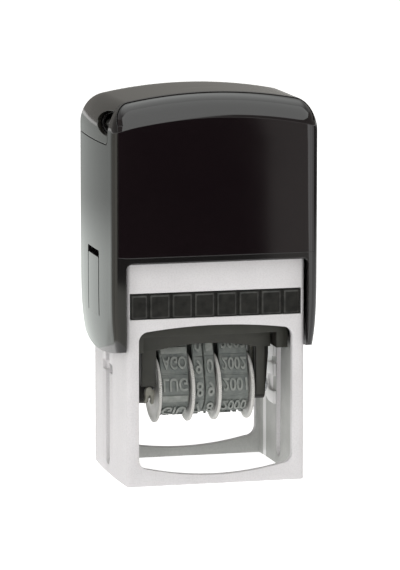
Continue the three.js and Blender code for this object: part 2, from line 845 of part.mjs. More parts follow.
function makeTextRubber() {
  const base = box(-plateHalfWidth, plateHalfWidth, -plateHalfDepth, plateHalfDepth, rubberBottom,
    dieFaceRest - rubberRelief);
  const low = rubberBottom;
  const outX = plateHalfWidth - borderMargin;
  const outY = plateHalfDepth - borderMargin;
  const border = box(-outX, outX, -outY, outY, low, dieFaceRest)
    .subtract(box(borderWidth - outX, outX - borderWidth, borderWidth - outY, outY - borderWidth,
      low - cutOverrun, high));
  let relief = border;
  for (let i = 0; i < textLineCount; i += 1) {
    const half = (outX - borderWidth * 2) * textLineShares[i];
    const y = outY - textLinePitch * (i + 1);
    for (const side of [-1, 1]) {
      const middle = y * side;
      relief = relief.add(box(-half, half, middle - textLineHeight / 2, middle + textLineHeight / 2,
        low, dieFaceRest));
    }
  }
  return base.add(relief).subtract(dateWindow());
}

// Dater

// Outline of a band round the wheel drum and the platen, a given distance off them.
function bandCircles(offset) {
  const round = platenRound + offset;
  const reach = platenHalfWidth - platenRound;
  const level = platenTop - platenRound;
  return [
    { y: wheelBack, z: wheelLevel, r: drumRadius + offset },
    { y: reach, z: level, r: round },
    { y: -reach, z: level, r: round },
  ];
}

function bandOutline(offset) {
  const circles = bandCircles(offset);
  const points = [];
  const count = circles.length;
  const normals = circles.map((circle, i) => {
    const next = circles[(i + 1) % count];
    const along = Math.atan2(next.z - circle.z, next.y - circle.y);
    const length = Math.hypot(next.z - circle.z, next.y - circle.y);
    return along - Math.acos((circle.r - next.r) / length);
  });
  circles.forEach((circle, i) => {
    const start = normals[(i + count - 1) % count];
    let end = normals[i];
    while (end < start) end += 2 * Math.PI;
    const steps = Math.max(2, Math.round(((end - start) / (2 * Math.PI)) * roundSegments));
    points.push(...arcPoints(circle.y, circle.z, circle.r, start, end, steps));
  });
  return points;
}

// Places spaced evenly along a band, each with its outward direction.
function bandPlaces(offset, count) {
  const points = bandOutline(offset);
  const lengths = [0];
  points.forEach((point, i) => {
    const next = points[(i + 1) % points.length];
    lengths.push(lengths[i] + Math.hypot(next[0] - point[0], next[1] - point[1]));
  });
  const total = lengths[lengths.length - 1];
  const topMiddle = points.findIndex(([y], i) => {
    const next = points[(i + 1) % points.length];
    return y > 0 && next[0] <= 0;
  });
  const first = lengths[topMiddle] + points[topMiddle][0];
  const places = [];
  for (let i = 0; i < count; i += 1) {
    const at = (first + (total * i) / count) % total;
    let k = 0;
    while (k + 1 < points.length && lengths[k + 1] < at) k += 1;
    const from = points[k];
    const to = points[(k + 1) % points.length];
    const share = (at - lengths[k]) / (lengths[k + 1] - lengths[k]);
    places.push({
      y: from[0] + (to[0] - from[0]) * share,
      z: from[1] + (to[1] - from[1]) * share,
      angle: Math.atan2(to[1] - from[1], to[0] - from[0]) - Math.PI / 2,
    });
  }
  return places;
}

function makeBand(x0, x1) {
  const shape = shapeOf(bandOutline(seatGap + bandThickness));
  const inner = shapeOf(bandOutline(seatGap));
  let band = prism('x', shape, x0, x1)
    .subtract(prism('x', inner, x0 - cutOverrun, x1 + cutOverrun));
  const half = bandCharacterHeight / 2;
  const foot = bandThickness / 2;
  for (const place of bandPlaces(seatGap + bandThickness, bandCellCount)) {
    const geometry = new THREE.BoxGeometry(x1 - x0 - 2 * bandCharacterMargin,
      bandRelief + foot, 2 * half);
    geometry.translate((x0 + x1) / 2, (bandRelief - foot) / 2, 0);
    geometry.rotateX(place.angle);
    geometry.translate(0, place.y, place.z);
    band = band.add(toSolid(geometry));
  }
  return band;
}

function makeWheel(discX, drumEnd) {
  const half = wheelThickness / 2;
  const rim = disc('x', wheelRadius, wheelBack, wheelLevel, discX - half, discX + half);
  const drum = disc('x', drumRadius, wheelBack, wheelLevel, Math.min(discX, drumEnd),
    Math.max(discX, drumEnd));
  const bore = disc('x', axleRadius + seatGap, wheelBack, wheelLevel, -wide, wide, holeSegments);
  return rim.add(drum).subtract(bore);
}

function makeAxle() {
  const end = armOutside + axleHeadThickness;
  const head = disc('x', axleHeadRadius, wheelBack, wheelLevel, armOutside, end, holeSegments);
  return disc('x', axleRadius, wheelBack, wheelLevel, -end, end, holeSegments)
    .add(bothSides(head));
}

function makeBridge() {
  const legOut = armInside;
  const legIn = legOut - bridgeLegThickness;
  const platenEnd = dateWindowHalfWidth - seatGap;
  const beamTop = textPlateBottom - seatGap;
  const beamBottom = beamTop - platenThickness;
  const platen = prism('x', roundedRectangle(-platenHalfWidth, platenHalfWidth, beamBottom,
    platenTop, platenRound), -platenEnd, platenEnd);
  const beam = box(-legOut, legOut, -platenHalfWidth, platenHalfWidth, beamBottom, beamTop);
  const half = bridgeLegWidth / 2;
  const leg = join(
    prism('x', shapeOf([
      [wheelBack - half, wheelLevel],
      [wheelBack + half, wheelLevel],
      [platenHalfWidth, beamBottom],
      [platenHalfWidth, beamTop],
      [-platenHalfWidth, beamTop],
      [-platenHalfWidth, beamBottom],
    ]), legIn, legOut),
    disc('x', bridgeClawRadius, wheelBack, wheelLevel, legIn, legOut, holeSegments),
  );
  const mouth = box(-wide, wide, wheelBack - bridgeClawMouth / 2, wheelBack + bridgeClawMouth / 2,
    wheelLevel - wheelRadius, wheelLevel);
  const bore = disc('x', axleRadius + seatGap, wheelBack, wheelLevel, -wide, wide, holeSegments);
  return platen.add(beam).add(bothSides(leg)).subtract(mouth).subtract(bore);
}

const outerFace = wheelOuterX - wheelThickness / 2;
const innerFaceOut = wheelInnerX + wheelThickness / 2;
const innerFaceIn = wheelInnerX - wheelThickness / 2;
const wideBand = [innerFaceOut + hubGap, outerFace - hubGap];
const narrowBand = [hubGap / 2, innerFaceIn - hubGap];

const stamp = new THREE.Group();
stamp.add(
  toMesh('lower_frame', makeFrame(), frameGrey),
  toMesh('pad_tray', makeTray(), trayBlack),
  toMesh('ink_pad', makePad(), padInk),
  toMesh('spring_seat', makeSpringSeat(), frameGrey),
  toMesh('return_spring', makeSpring(), steel),
  toMesh('cap_shell', makeCapShell(), capBlack),
  toMesh('top_cover', makeTopCover(), coverBlack),
  toMesh('front_panel', makeFrontPanel(), capBlack),
  toMesh('latch_tongue_left', makeLatch(-1), capBlack),
  toMesh('latch_tongue_right', makeLatch(1), capBlack),
  toMesh('yoke', makeYoke(), trayBlack),
  toMesh('pivot_pin_left', makePin(-1), steel),
  toMesh('pivot_pin_right', makePin(1), steel),
  toMesh('carriage', makeCarriage(), carriageOlive),
  toMesh('text_plate', makeTextPlate(), trayBlack),
  toMesh('text_rubber', makeTextRubber(), textRubberGrey),
  toMesh('dater_bridge', makeBridge(), wheelGrey),
  toMesh('wheel_axle', makeAxle(), steel),
  toMesh('month_wheel', makeWheel(-wheelOuterX, -wideBand[0]), wheelGrey),
  toMesh('tens_wheel', makeWheel(-wheelInnerX, -narrowBand[0]), wheelGrey),
  toMesh('units_wheel', makeWheel(wheelInnerX, narrowBand[0]), wheelGrey),
  toMesh('year_wheel', makeWheel(wheelOuterX, wideBand[0]), wheelGrey),
  toMesh('month_band', makeBand(-wideBand[1], -wideBand[0]), bandRubber),
  toMesh('tens_band', makeBand(-narrowBand[1], -narrowBand[0]), bandRubber),
  toMesh('units_band', makeBand(narrowBand[0], narrowBand[1]), bandRubber),
  toMesh('year_band', makeBand(wideBand[0], wideBand[1]), bandRubber),
);

console.log('stroke, mm', stroke.toFixed(2));

export default stamp;
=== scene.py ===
"""Looks of a self-inking date stamp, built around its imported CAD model.

Sizes are in millimetres until a mesh is made, and in metres for lights and the camera. Front is
towards -Y, and the paper is at z 0.
"""

import math

import bmesh
import bpy
import numpy as np
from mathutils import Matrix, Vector


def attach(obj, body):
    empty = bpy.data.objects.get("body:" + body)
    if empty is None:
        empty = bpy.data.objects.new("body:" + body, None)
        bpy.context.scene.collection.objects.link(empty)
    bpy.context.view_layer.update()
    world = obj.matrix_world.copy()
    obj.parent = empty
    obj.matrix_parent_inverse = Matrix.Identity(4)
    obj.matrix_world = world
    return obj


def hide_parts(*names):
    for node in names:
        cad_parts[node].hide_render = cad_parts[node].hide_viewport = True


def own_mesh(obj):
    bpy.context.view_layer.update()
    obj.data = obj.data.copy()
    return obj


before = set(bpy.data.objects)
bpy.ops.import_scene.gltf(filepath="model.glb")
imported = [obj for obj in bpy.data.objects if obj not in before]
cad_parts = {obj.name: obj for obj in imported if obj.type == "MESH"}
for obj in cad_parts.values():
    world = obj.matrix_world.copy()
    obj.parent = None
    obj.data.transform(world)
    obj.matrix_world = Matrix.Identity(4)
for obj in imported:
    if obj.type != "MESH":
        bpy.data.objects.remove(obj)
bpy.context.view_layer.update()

MM = 0.001
QUARTER = math.pi / 2

# Sizes shared with the CAD source
PIVOT_Z = 39.5
WHEEL_Y = -1.8
WHEEL_Z = 25.3
FRAME_FRONT = -22.15
FRAME_HALF = 27.25
FRAME_BULGE = 0.75
FRAME_SIDE_WALL = 2.5
FRAME_FACE_WALL = 2.2
FRAME_TOP = 70.8
CAP_HALF = 31.5
CAP_HALF_DEPTH = 25.1
CAP_TOP = 114.41
CAP_WALL = 2.2
CHEEK_LOW = 37.7
CUTOUT_HALF = 27.1
CUTOUT_TOP = 65.7
COVER_FRONT = -16.6
COVER_SEAM = 99.71
NOTCH_Z = 105.7
SEAM_GAP = 0.35
LATCH_LOW = 48.4
TRAY_LOW = 49.2
TRAY_HIGH = 56.6
TRAY_CEILING = TRAY_HIGH - 1.4
WINDOW_HEAD = TRAY_LOW - 2.3
DRUM_RADIUS = 6.2
PLATEN_RADIUS = 0.8
PLATEN_Y = 1.7
PLATEN_Z = 45.4

# Places outside the part, where cutters end
REACH = 60.0
ABOVE = 130


# Meshes

def linked(name, data):
    """A new object in the scene, of a mesh, curve, light or camera."""
    obj = bpy.data.objects.new(name, data)
    bpy.context.scene.collection.objects.link(obj)
    return obj


def add_object(name, points, faces):
    """A mesh from points in millimetres, with its faces turned outwards."""
    mesh = bpy.data.meshes.new(name)
    mesh.from_pydata([tuple(c * MM for c in p) for p in points], [], [tuple(f) for f in faces])
    bm = bmesh.new()
    bm.from_mesh(mesh)
    bmesh.ops.recalc_face_normals(bm, faces=bm.faces)
    bm.to_mesh(mesh)
    bm.free()
    return linked(name, mesh)


def skin(rings, count, closed=False):
    """Faces between neighbouring rings of count points, and from last to first if closed."""
    faces = []
    for ring in range(rings if closed else rings - 1):
        a, b = ring * count, (ring + 1) % rings * count
        for i in range(count):
            j = (i + 1) % count
            faces.append((a + i, a + j, b + j, b + i))
    return faces


def loft(name, rings):
    """Closed skin over rings of equal count, with a flat face at each end."""
    count = len(rings[0])
    last = (len(rings) - 1) * count
    ends = [tuple(range(count))[::-1], tuple(range(last, last + count))]
    return add_object(name, [p for ring in rings for p in ring], skin(len(rings), count) + ends)


def fan_loft(name, rings):
    """Closed skin over rings of equal count, with a fan of faces at each end."""
    count = len(rings[0])
    last = (len(rings) - 1) * count
    points = [p for ring in rings for p in ring]
    points += [np.mean(rings[0], axis=0), np.mean(rings[-1], axis=0)]
    low, high = len(points) - 2, len(points) - 1
    faces = skin(len(rings), count)
    for i in range(count):
        j = (i + 1) % count
        faces += [(low, j, i), (high, last + i, last + j)]
    return add_object(name, points, faces)


def place(axis, u, v, w):
    """A point from its two coordinates in a section and its place along the named axis."""
    if axis == "x":
        return (w, u, v)
    if axis == "y":
        return (u, w, v)
    return (u, v, w)


def pushed_in(outline, depth):
    """The outline moved inward by a depth, with as many points as before."""
    pts = np.array(outline, float)
    before, after = np.roll(pts, 1, 0), np.roll(pts, -1, 0)
    area = np.sum(pts[:, 0] * after[:, 1] - after[:, 0] * pts[:, 1])
    sign = 1.0 if area > 0 else -1.0

    def inward(a, b):
        d = b - a
        d /= np.maximum(np.linalg.norm(d, axis=1, keepdims=True), 1e-9)
        return np.stack([-d[:, 1], d[:, 0]], 1) * sign

    n0, n1 = inward(before, pts), inward(pts, after)
    middle = n0 + n1
    scale = np.maximum(np.sum(middle * n0, axis=1, keepdims=True), 0.5)
    return pts + depth * middle / scale


def prism(name, axis, outline, low, high, round_low=0.0, round_high=0.0, steps=3):
    """A section pushed along an axis, with its end edges rounded by the given radii."""
    levels = []
    for radius, end, sign in ((round_low, low, 1), (round_high, high, -1)):
        part = [(end, 0.0)]
        if radius:
            angles = [QUARTER * k / steps for k in range(steps, -1, -1)]
            part = [(end + sign * radius * (1 - math.sin(a)), radius * (1 - math.cos(a)))
                    for a in angles]
        levels.append(part)
    rings = []
    for level, depth in levels[0] + levels[1][::-1]:
        shape = pushed_in(outline, depth) if depth else outline
        rings.append([place(axis, u, v, level) for u, v in shape])
    return loft(name, rings)


def side_prism(name, outline, side, inner, outer, round_inner=0.0):
    """A section in y and z, pushed along x from inner to outer on the side of the given sign.

    The edges of its inner end are rounded by round_inner.
    """
    if side > 0:
        return prism(name, "x", outline, inner, outer, round_inner, 0)
    return prism(name, "x", outline, -outer, -inner, 0, round_inner)


def box(name, x0, x1, y0, y1, z0, z1):
    return prism(name, "z", [(x0, y0), (x1, y0), (x1, y1), (x0, y1)], z0, z1)


def arc(u, v, radius, start, end, steps):
    """Points from one angle of a circle to another, both included."""
    return [(u + radius * math.cos(start + (end - start) * i / steps),
             v + radius * math.sin(start + (end - start) * i / steps)) for i in range(steps + 1)]


def rounded(u0, u1, v0, v1, radius, steps=6):
    """A rectangle with rounded corners, counter-clockwise."""
    return (arc(u1 - radius, v0 + radius, radius, -QUARTER, 0, steps)
            + arc(u1 - radius, v1 - radius, radius, 0, QUARTER, steps)
            + arc(u0 + radius, v1 - radius, radius, QUARTER, 2 * QUARTER, steps)
            + arc(u0 + radius, v0 + radius, radius, 2 * QUARTER, 3 * QUARTER, steps))


def arched(half, base, top, radius, steps):
    """A rectangle from base to top with its two upper corners rounded."""
    return ([(-half, base), (half, base)]
            + arc(half - radius, top - radius, radius, 0, QUARTER, steps)
            + arc(radius - half, top - radius, radius, QUARTER, 2 * QUARTER, steps))


def evaluated(obj):
    """Applies the object's modifiers to its mesh."""
    graph = bpy.context.evaluated_depsgraph_get()
    mesh = bpy.data.meshes.new_from_object(obj.evaluated_get(graph))
    obj.modifiers.clear()
    obj.data = mesh
    return obj


def combine(obj, operation, *tools):
    """Applies a boolean with each tool in turn and deletes the tools."""
    for tool in tools:
        step = obj.modifiers.new(tool.name, "BOOLEAN")
        step.operation = operation
        step.solver = "MANIFOLD"
        step.object = tool
    evaluated(obj)
    for tool in tools:
        bpy.data.objects.remove(tool)
    return obj


def cut(obj, *tools):
    return combine(obj, "DIFFERENCE", *tools)


def union(obj, *tools):
    return combine(obj, "UNION", *tools)


def common(obj, *tools):
    return combine(obj, "INTERSECT", *tools)


def cleaned(obj):
    """Merges points that lie almost together and drops the needless ones on flats."""
    bm = bmesh.new()
    bm.from_mesh(obj.data)
    bmesh.ops.remove_doubles(bm, verts=bm.verts, dist=0.004 * MM)
    bmesh.ops.dissolve_limit(bm, angle_limit=math.radians(0.4), verts=bm.verts, edges=bm.edges)
    bm.to_mesh(obj.data)
    bm.free()
    return obj


def softened(obj, width, angle=35):
    """Rounds the edges sharper than the angle."""
    cleaned(obj)
    step = obj.modifiers.new("soften", "BEVEL")
    step.width = width * MM
    step.segments = 2
    step.limit_method = "ANGLE"
    step.angle_limit = math.radians(angle)
    step.use_clamp_overlap = True
    return evaluated(obj)


def dress(obj, material, body, nodes, sharp=32, more=()):
    """Gives a piece its finish, its body and the CAD nodes that it stands for.

    Faces numbered by toned take the further materials. Edges sharper than the angle stay sharp.
    """
    faces = [face.material_index for face in obj.data.polygons]
    obj.data.materials.clear()
    obj.data.materials.append(material)
    for extra in more:
        obj.data.materials.append(extra)
    if more:
        obj.data.polygons.foreach_set("material_index", faces)
    obj.data.shade_smooth()
    obj.data.set_sharp_from_angle(angle=math.radians(sharp))
    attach(obj, body)
    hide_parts(*nodes)
    return obj


def toned(obj, *tests):
    """Numbers each face by the last test that holds for its middle in millimetres, if any."""
    for face in obj.data.polygons:
        for number, holds in enumerate(tests, 1):
            if holds(face.center / MM):
                face.material_index = number


# Materials

def ramp_between(tree, fac, low, high, start=0.3, end=0.7):
    """A colour ramp from low to high over a stretch of its input."""
    node = tree.nodes.new("ShaderNodeValToRGB")
    node.color_ramp.elements[0].position = start
    node.color_ramp.elements[1].position = end
    node.color_ramp.elements[0].color = (*low, 1)
    node.color_ramp.elements[1].color = (*high, 1)
    tree.links.new(fac, node.inputs["Fac"])
    return node.outputs["Color"]


def noise(tree, where, scale, detail=3.0):
    node = tree.nodes.new("ShaderNodeTexNoise")
    node.inputs["Scale"].default_value = scale
    node.inputs["Detail"].default_value = detail
    node.inputs["Roughness"].default_value = 0.55
    tree.links.new(where, node.inputs["Vector"])
    return node.outputs["Fac"]


def plastic(name, low, high, patch, rough, grain, bump, edge=0.0, speckle=0.0, specular=0.5):
    """Moulded plastic or rubber: patchy colour, varied roughness and a fine grain.

    low and high are the colours that the patches run between, patch their scale, rough the
    lowest and highest roughness, grain the scale of the surface grain and bump its height.
    edge is the radius of softly lit edges, and speckle how much darker fine dots are.
    """
    mat = bpy.data.materials.new(name)
    mat.use_nodes = True
    tree = mat.node_tree
    shader = tree.nodes["Principled BSDF"]
    where = tree.nodes.new("ShaderNodeTexCoord").outputs["Object"]
    patches = noise(tree, where, patch)
    colour = ramp_between(tree, patches, low, high)
    if speckle:
        dots = ramp_between(tree, noise(tree, where, grain * 0.8, 1.0), (1 - speckle,) * 3,
                            (1, 1, 1), 0.38, 0.55)
        mix = tree.nodes.new("ShaderNodeMix")
        mix.data_type = "RGBA"
        mix.blend_type = "MULTIPLY"
        mix.inputs["Factor"].default_value = 1.0
        tree.links.new(colour, mix.inputs["A"])
        tree.links.new(dots, mix.inputs["B"])
        colour = mix.outputs["Result"]
    tree.links.new(colour, shader.inputs["Base Color"])
    span = tree.nodes.new("ShaderNodeMapRange")
    span.inputs["To Min"].default_value = rough[0]
    span.inputs["To Max"].default_value = rough[1]
    tree.links.new(noise(tree, where, patch * 2.3, 4.0), span.inputs["Value"])
    tree.links.new(span.outputs["Result"], shader.inputs["Roughness"])
    relief = tree.nodes.new("ShaderNodeBump")
    relief.inputs["Strength"].default_value = 1.0
    relief.inputs["Distance"].default_value = bump * MM
    tree.links.new(noise(tree, where, grain, 2.0), relief.inputs["Height"])
    if edge:
        rim = tree.nodes.new("ShaderNodeBevel")
        rim.samples = 6
        rim.inputs["Radius"].default_value = edge * MM
        tree.links.new(rim.outputs["Normal"], relief.inputs["Normal"])
    tree.links.new(relief.outputs["Normal"], shader.inputs["Normal"])
    shader.inputs["Specular IOR Level"].default_value = specular
    return mat


def metal(name, low, high, rough, grain, bump):
    """Bare metal with a fine grain and softly lit edges."""
    mat = plastic(name, low, high, 300, rough, grain, bump, edge=0.15)
    mat.node_tree.nodes["Principled BSDF"].inputs["Metallic"].default_value = 1.0
    return mat


def felt(name, low, high):
    """Felt soaked with ink: short matted fibres with a wet sheen."""
    mat = plastic(name, low, high, 500, (0.55, 0.9), 2600, 0.25)
    shader = mat.node_tree.nodes["Principled BSDF"]
    shader.inputs["Sheen Weight"].default_value = 0.35
    shader.inputs["Sheen Roughness"].default_value = 0.4
    return mat


frame_plastic = plastic("light_grey_plastic", (0.575, 0.562, 0.572), (0.625, 0.612, 0.622), 60,
                        (0.5, 0.62), 2600, 0.02, edge=0.3, speckle=0.06)
# Painted shade: a darker copy of the light grey plastic for the frame's inner walls
inner_wall_painted_shade = plastic("grey_plastic_painted_shade", (0.36, 0.365, 0.35), (0.44, 0.445, 0.43), 90,
                        (0.45, 0.6), 2600, 0.02, edge=0.2, speckle=0.06)
# Painted highlight: a lighter, smoother copy of the grey plastic for the hooks and rails inside the
# frame
hook_rail_painted_highlight = plastic("polished_grey_plastic_painted_highlight", (0.8, 0.8, 0.8), (0.88, 0.88, 0.88), 60,
                        (0.3, 0.4), 2600, 0.01, edge=0.2)
cap_gloss = plastic("cap_black_gloss", (0.0065, 0.006, 0.0062), (0.0095, 0.0085, 0.0085), 40,
                    (0.05, 0.10), 90, 0.004, edge=0.14)
cover_gloss = plastic("cover_black_gloss", (0.010, 0.0095, 0.008), (0.014, 0.013, 0.011), 40,
                      (0.07, 0.13), 90, 0.004, edge=0.2)
panel_gloss = plastic("panel_black_gloss", (0.005, 0.0028, 0.0037), (0.0068, 0.0042, 0.005), 30,
                      (0.035, 0.075), 70, 0.003, edge=0.14)
tray_plastic = plastic("charcoal_plastic", (0.004, 0.0039, 0.0033), (0.016, 0.0155, 0.0135), 420,
                       (0.34, 0.5), 1500, 0.03, edge=0.1, specular=0.15)
# Painted highlight: a lighter charcoal for the rims of the cartridge's pads
pad_rim_painted_highlight = plastic("charcoal_plastic_painted_highlight", (0.006, 0.006, 0.005), (0.032, 0.031, 0.028), 420,
                    (0.38, 0.5), 1500, 0.02, edge=0.05, specular=0.3)
# Painted shade and light: a darker copy of the carriage plastic for its shaded arms, and a lighter
# copy for its lit top rail and middle
carriage_painted_shade = plastic("carriage_plastic_painted_shade", (0.010, 0.0085, 0.007),
                           (0.017, 0.015, 0.0125), 150, (0.4, 0.52), 1700, 0.012, edge=0.3,
                           specular=0.22)
carriage_painted_lit = plastic("carriage_plastic_painted_lit", (0.025, 0.025, 0.0195), (0.033, 0.033, 0.0265), 150,
                      (0.38, 0.5), 1700, 0.012, edge=0.3, specular=0.3)
wheel_plastic = plastic("wheel_grey_plastic", (0.6, 0.595, 0.57), (0.7, 0.69, 0.67), 350,
                        (0.3, 0.42), 2200, 0.01, edge=0.1)
band_rubber = plastic("slate_rubber", (0.103, 0.117, 0.112), (0.18, 0.194, 0.18), 420,
                      (0.45, 0.65), 1900, 0.02, edge=0.08)
text_rubber = plastic("printing_rubber", (0.07, 0.066, 0.062), (0.11, 0.105, 0.1), 300,
                      (0.5, 0.75), 2000, 0.02, edge=0.08)
# A lighter rubber tone for the tops of the raised marks and bars
band_face = plastic("lighter_rubber_face", (0.17, 0.185, 0.17), (0.27, 0.28, 0.262), 500,
                    (0.4, 0.6), 1900, 0.015, edge=0.05)
# Painted light: the claw and its bridge take a lit tone of the dark carriage plastic
claw_painted_lit = plastic("claw_plastic_painted_lit", (0.15, 0.147, 0.122), (0.26, 0.255, 0.215), 500,
                       (0.4, 0.55), 1900, 0.012, edge=0.1)
yoke_plastic = plastic("yoke_charcoal_plastic", (0.022, 0.022, 0.02), (0.035, 0.034, 0.031), 150,
                       (0.35, 0.5), 1500, 0.015, edge=0.3)
ink_felt = felt("inked_felt", (0.008, 0.009, 0.015), (0.02, 0.021, 0.032))
steel = metal("bright_steel", (0.5, 0.51, 0.53), (0.6, 0.61, 0.63), (0.18, 0.32), 900, 0.004)


# Cap

def bowed(half_depth, half, bulge, front_radius, rear_radius, inset):
    """Plan outline of a box with flat ends and bowed sides, counter-clockwise."""
    corner_steps, side_steps, face_steps, least_radius = 12, 26, 40, 0.6

    def side_at(y):
        return half - bulge * (y / half_depth) ** 2 - inset

    arcs = []
    for radius, sign in ((front_radius, -1), (rear_radius, 1)):
        turn = max(radius - inset, least_radius)
        level = sign * (half_depth - inset - turn)
        lean = math.atan(2 * bulge * level / half_depth ** 2)
        centre_x = side_at(level) - turn * math.cos(lean)
        ends = (-QUARTER, lean) if sign < 0 else (lean, QUARTER)
        arcs.append(arc(centre_x, level, turn, *ends, corner_steps))
    start, end = arcs[0][-1][1], arcs[1][0][1]
    levels = [start + (end - start) * i / side_steps for i in range(1, side_steps)]
    right = arcs[0] + [(side_at(y), y) for y in levels] + arcs[1]
    left = [(-x, y) for x, y in reversed(right)]

    def across(x0, x1, y):
        return [(x0 + (x1 - x0) * i / face_steps, y) for i in range(1, face_steps)]

    rear_x, front_x = arcs[1][-1][0], arcs[0][0][0]
    return (right + across(rear_x, -rear_x, half_depth - inset) + left
            + across(-front_x, front_x, inset - half_depth))


def cap_form(name, inset):
    """The cap's outer form, or the form a given depth inside it.

    Its rings rise from the tapered cheeks over straight walls to the rolled edge and close in
    over the crown. Each point rolls towards the nearest point of a core rectangle.
    """
    side_bulge, front_radius, rear_radius = 1.35, 5.5, 5.0
    outline = bowed(CAP_HALF_DEPTH, CAP_HALF, side_bulge, front_radius, rear_radius, inset)
    front_run, front_drop, rear_run, side_drop = 8.2, 6.9, 17.2, 8.9
    taper_top, crown_drop, overrun = 60.8, 3.8, 4.0
    taper_steps, wall_steps, roll_steps, crown_steps = 12, 8, 24, 8
    core_front, core_rear = -CAP_HALF_DEPTH + front_run, CAP_HALF_DEPTH - rear_run
    core_side = CAP_HALF * 0.8
    full_taper, end_taper = (0.5, 0.6) if inset else (2.3, 1.2)

    def crown_at(x):
        return CAP_TOP - inset - crown_drop * (x / CAP_HALF) ** 2

    rings = []
    for k in range(taper_steps + 1):
        share = 1 - (k / taper_steps) ** 2
        z = taper_top - (taper_top - CHEEK_LOW + overrun) * share
        rings.append([(x * (1 - (full_taper * share ** 4
                                 + end_taper * share ** 2 * (y / CAP_HALF_DEPTH) ** 2) / CAP_HALF),
                       y, z) for x, y in outline])
    spots = []
    for x, y in outline:
        core = (min(max(x, -core_side), core_side), min(max(y, core_front), core_rear))
        share = 0.0
        if y < core_front:
            lean = ((y - core[1]) / front_run) ** 2
            share = lean / (lean + ((x - core[0]) / (CAP_HALF - core_side)) ** 2)
        spots.append((x, y, core, side_drop + (front_drop - side_drop) * share - inset))
    wall_top = [(x, y, crown_at(x) - drop) for x, y, core, drop in spots]
    for k in range(1, wall_steps):
        rings.append([(x, y, taper_top + (z - taper_top) * k / wall_steps)
                      for x, y, z in wall_top])
    for k in range(roll_steps + 1):
        angle = QUARTER * k / roll_steps
        ring = []
        for x, y, core, drop in spots:
            px = core[0] + (x - core[0]) * math.cos(angle)
            py = core[1] + (y - core[1]) * math.cos(angle)
            ring.append((px, py, crown_at(px) - drop * (1 - math.sin(angle))))
        rings.append(ring)
    middle = (core_front + core_rear) / 2
    for k in range(1, crown_steps):
        share = 1 - k / crown_steps
        rings.append([(core[0] * share, middle + (core[1] - middle) * share,
                       crown_at(core[0] * share)) for x, y, core, drop in spots])
    return fan_loft(name, rings)


def cheek_cutter():
    """Everything under the cheeks, whose lower edges rise towards the front and rear."""
    half_steps, end_rise, bottom = 32, 2.7, 20
    levels = [CAP_HALF_DEPTH * (1 - i / half_steps) for i in range(2 * half_steps + 1)]
    points = [(y, CHEEK_LOW + end_rise * (y / CAP_HALF_DEPTH) ** 2) for y in levels]
    points[0] = (REACH, points[0][1])
    points[-1] = (-REACH, points[-1][1])
    points += [(-REACH, bottom), (REACH, bottom)]
    return prism("cheek_cutter", "x", points, -REACH, REACH)


def cutout_cutter():
    """The opening over the frame's front and rear, its outer edges flared."""
    outline = rounded(-CUTOUT_HALF, CUTOUT_HALF, 0, CUTOUT_TOP, 1.5, 8)
    front = [(-REACH, 0.5), (-CAP_HALF_DEPTH - 0.02, 0.5), (-CAP_HALF_DEPTH + 0.15, 0.2),
             (-CAP_HALF_DEPTH + 0.5, 0)]
    rings = []
    for y, flare in front + [(-y, flare) for y, flare in reversed(front)]:
        shape = pushed_in(outline, -flare) if flare else outline
        rings.append([(u, y, v) for u, v in shape])
    return loft("cutout_cutter", rings)


def cover_region(gap, seam_gap=0.0):
    """The room of the top cover, seen from the side, widened by the gaps."""
    front, low, turn = COVER_FRONT - gap, COVER_SEAM - seam_gap, 1.5 + gap
    outline = ([(front, ABOVE)]
               + arc(front + turn, low + turn, turn, 2 * QUARTER, 3 * QUARTER, 8)
               + [(REACH, low), (REACH, ABOVE)])
    return prism("cover_region", "x", outline, -REACH, REACH)


def panel_region(side_gap, top_gap):
    """The room of the front panel, seen from above, widened by the gaps."""
    half, back, low = 29.2, -18, 67.7
    outline = arched(half + side_gap, -REACH, back + top_gap, 4.5, 10)
    return prism("panel_region", "z", outline, low - side_gap, ABOVE)


def notch_cutter(side, length, half_height):
    """A half ellipse that opens at the cover's front edge."""
    outline = [(COVER_FRONT + length * u, NOTCH_Z + half_height * v)
               for u, v in arc(0, 0, 1, -QUARTER, QUARTER, 40)]
    return side_prism("notch_cutter", outline, side, CUTOUT_HALF, REACH)


def latch_region(side, widen, high):
    """The room of a latch tongue in the cap's side, up to the given height."""
    outline = arched(6.6 + widen, LATCH_LOW, high, 0.8, 5)
    return side_prism("latch_region", outline, side, CUTOUT_HALF, REACH)


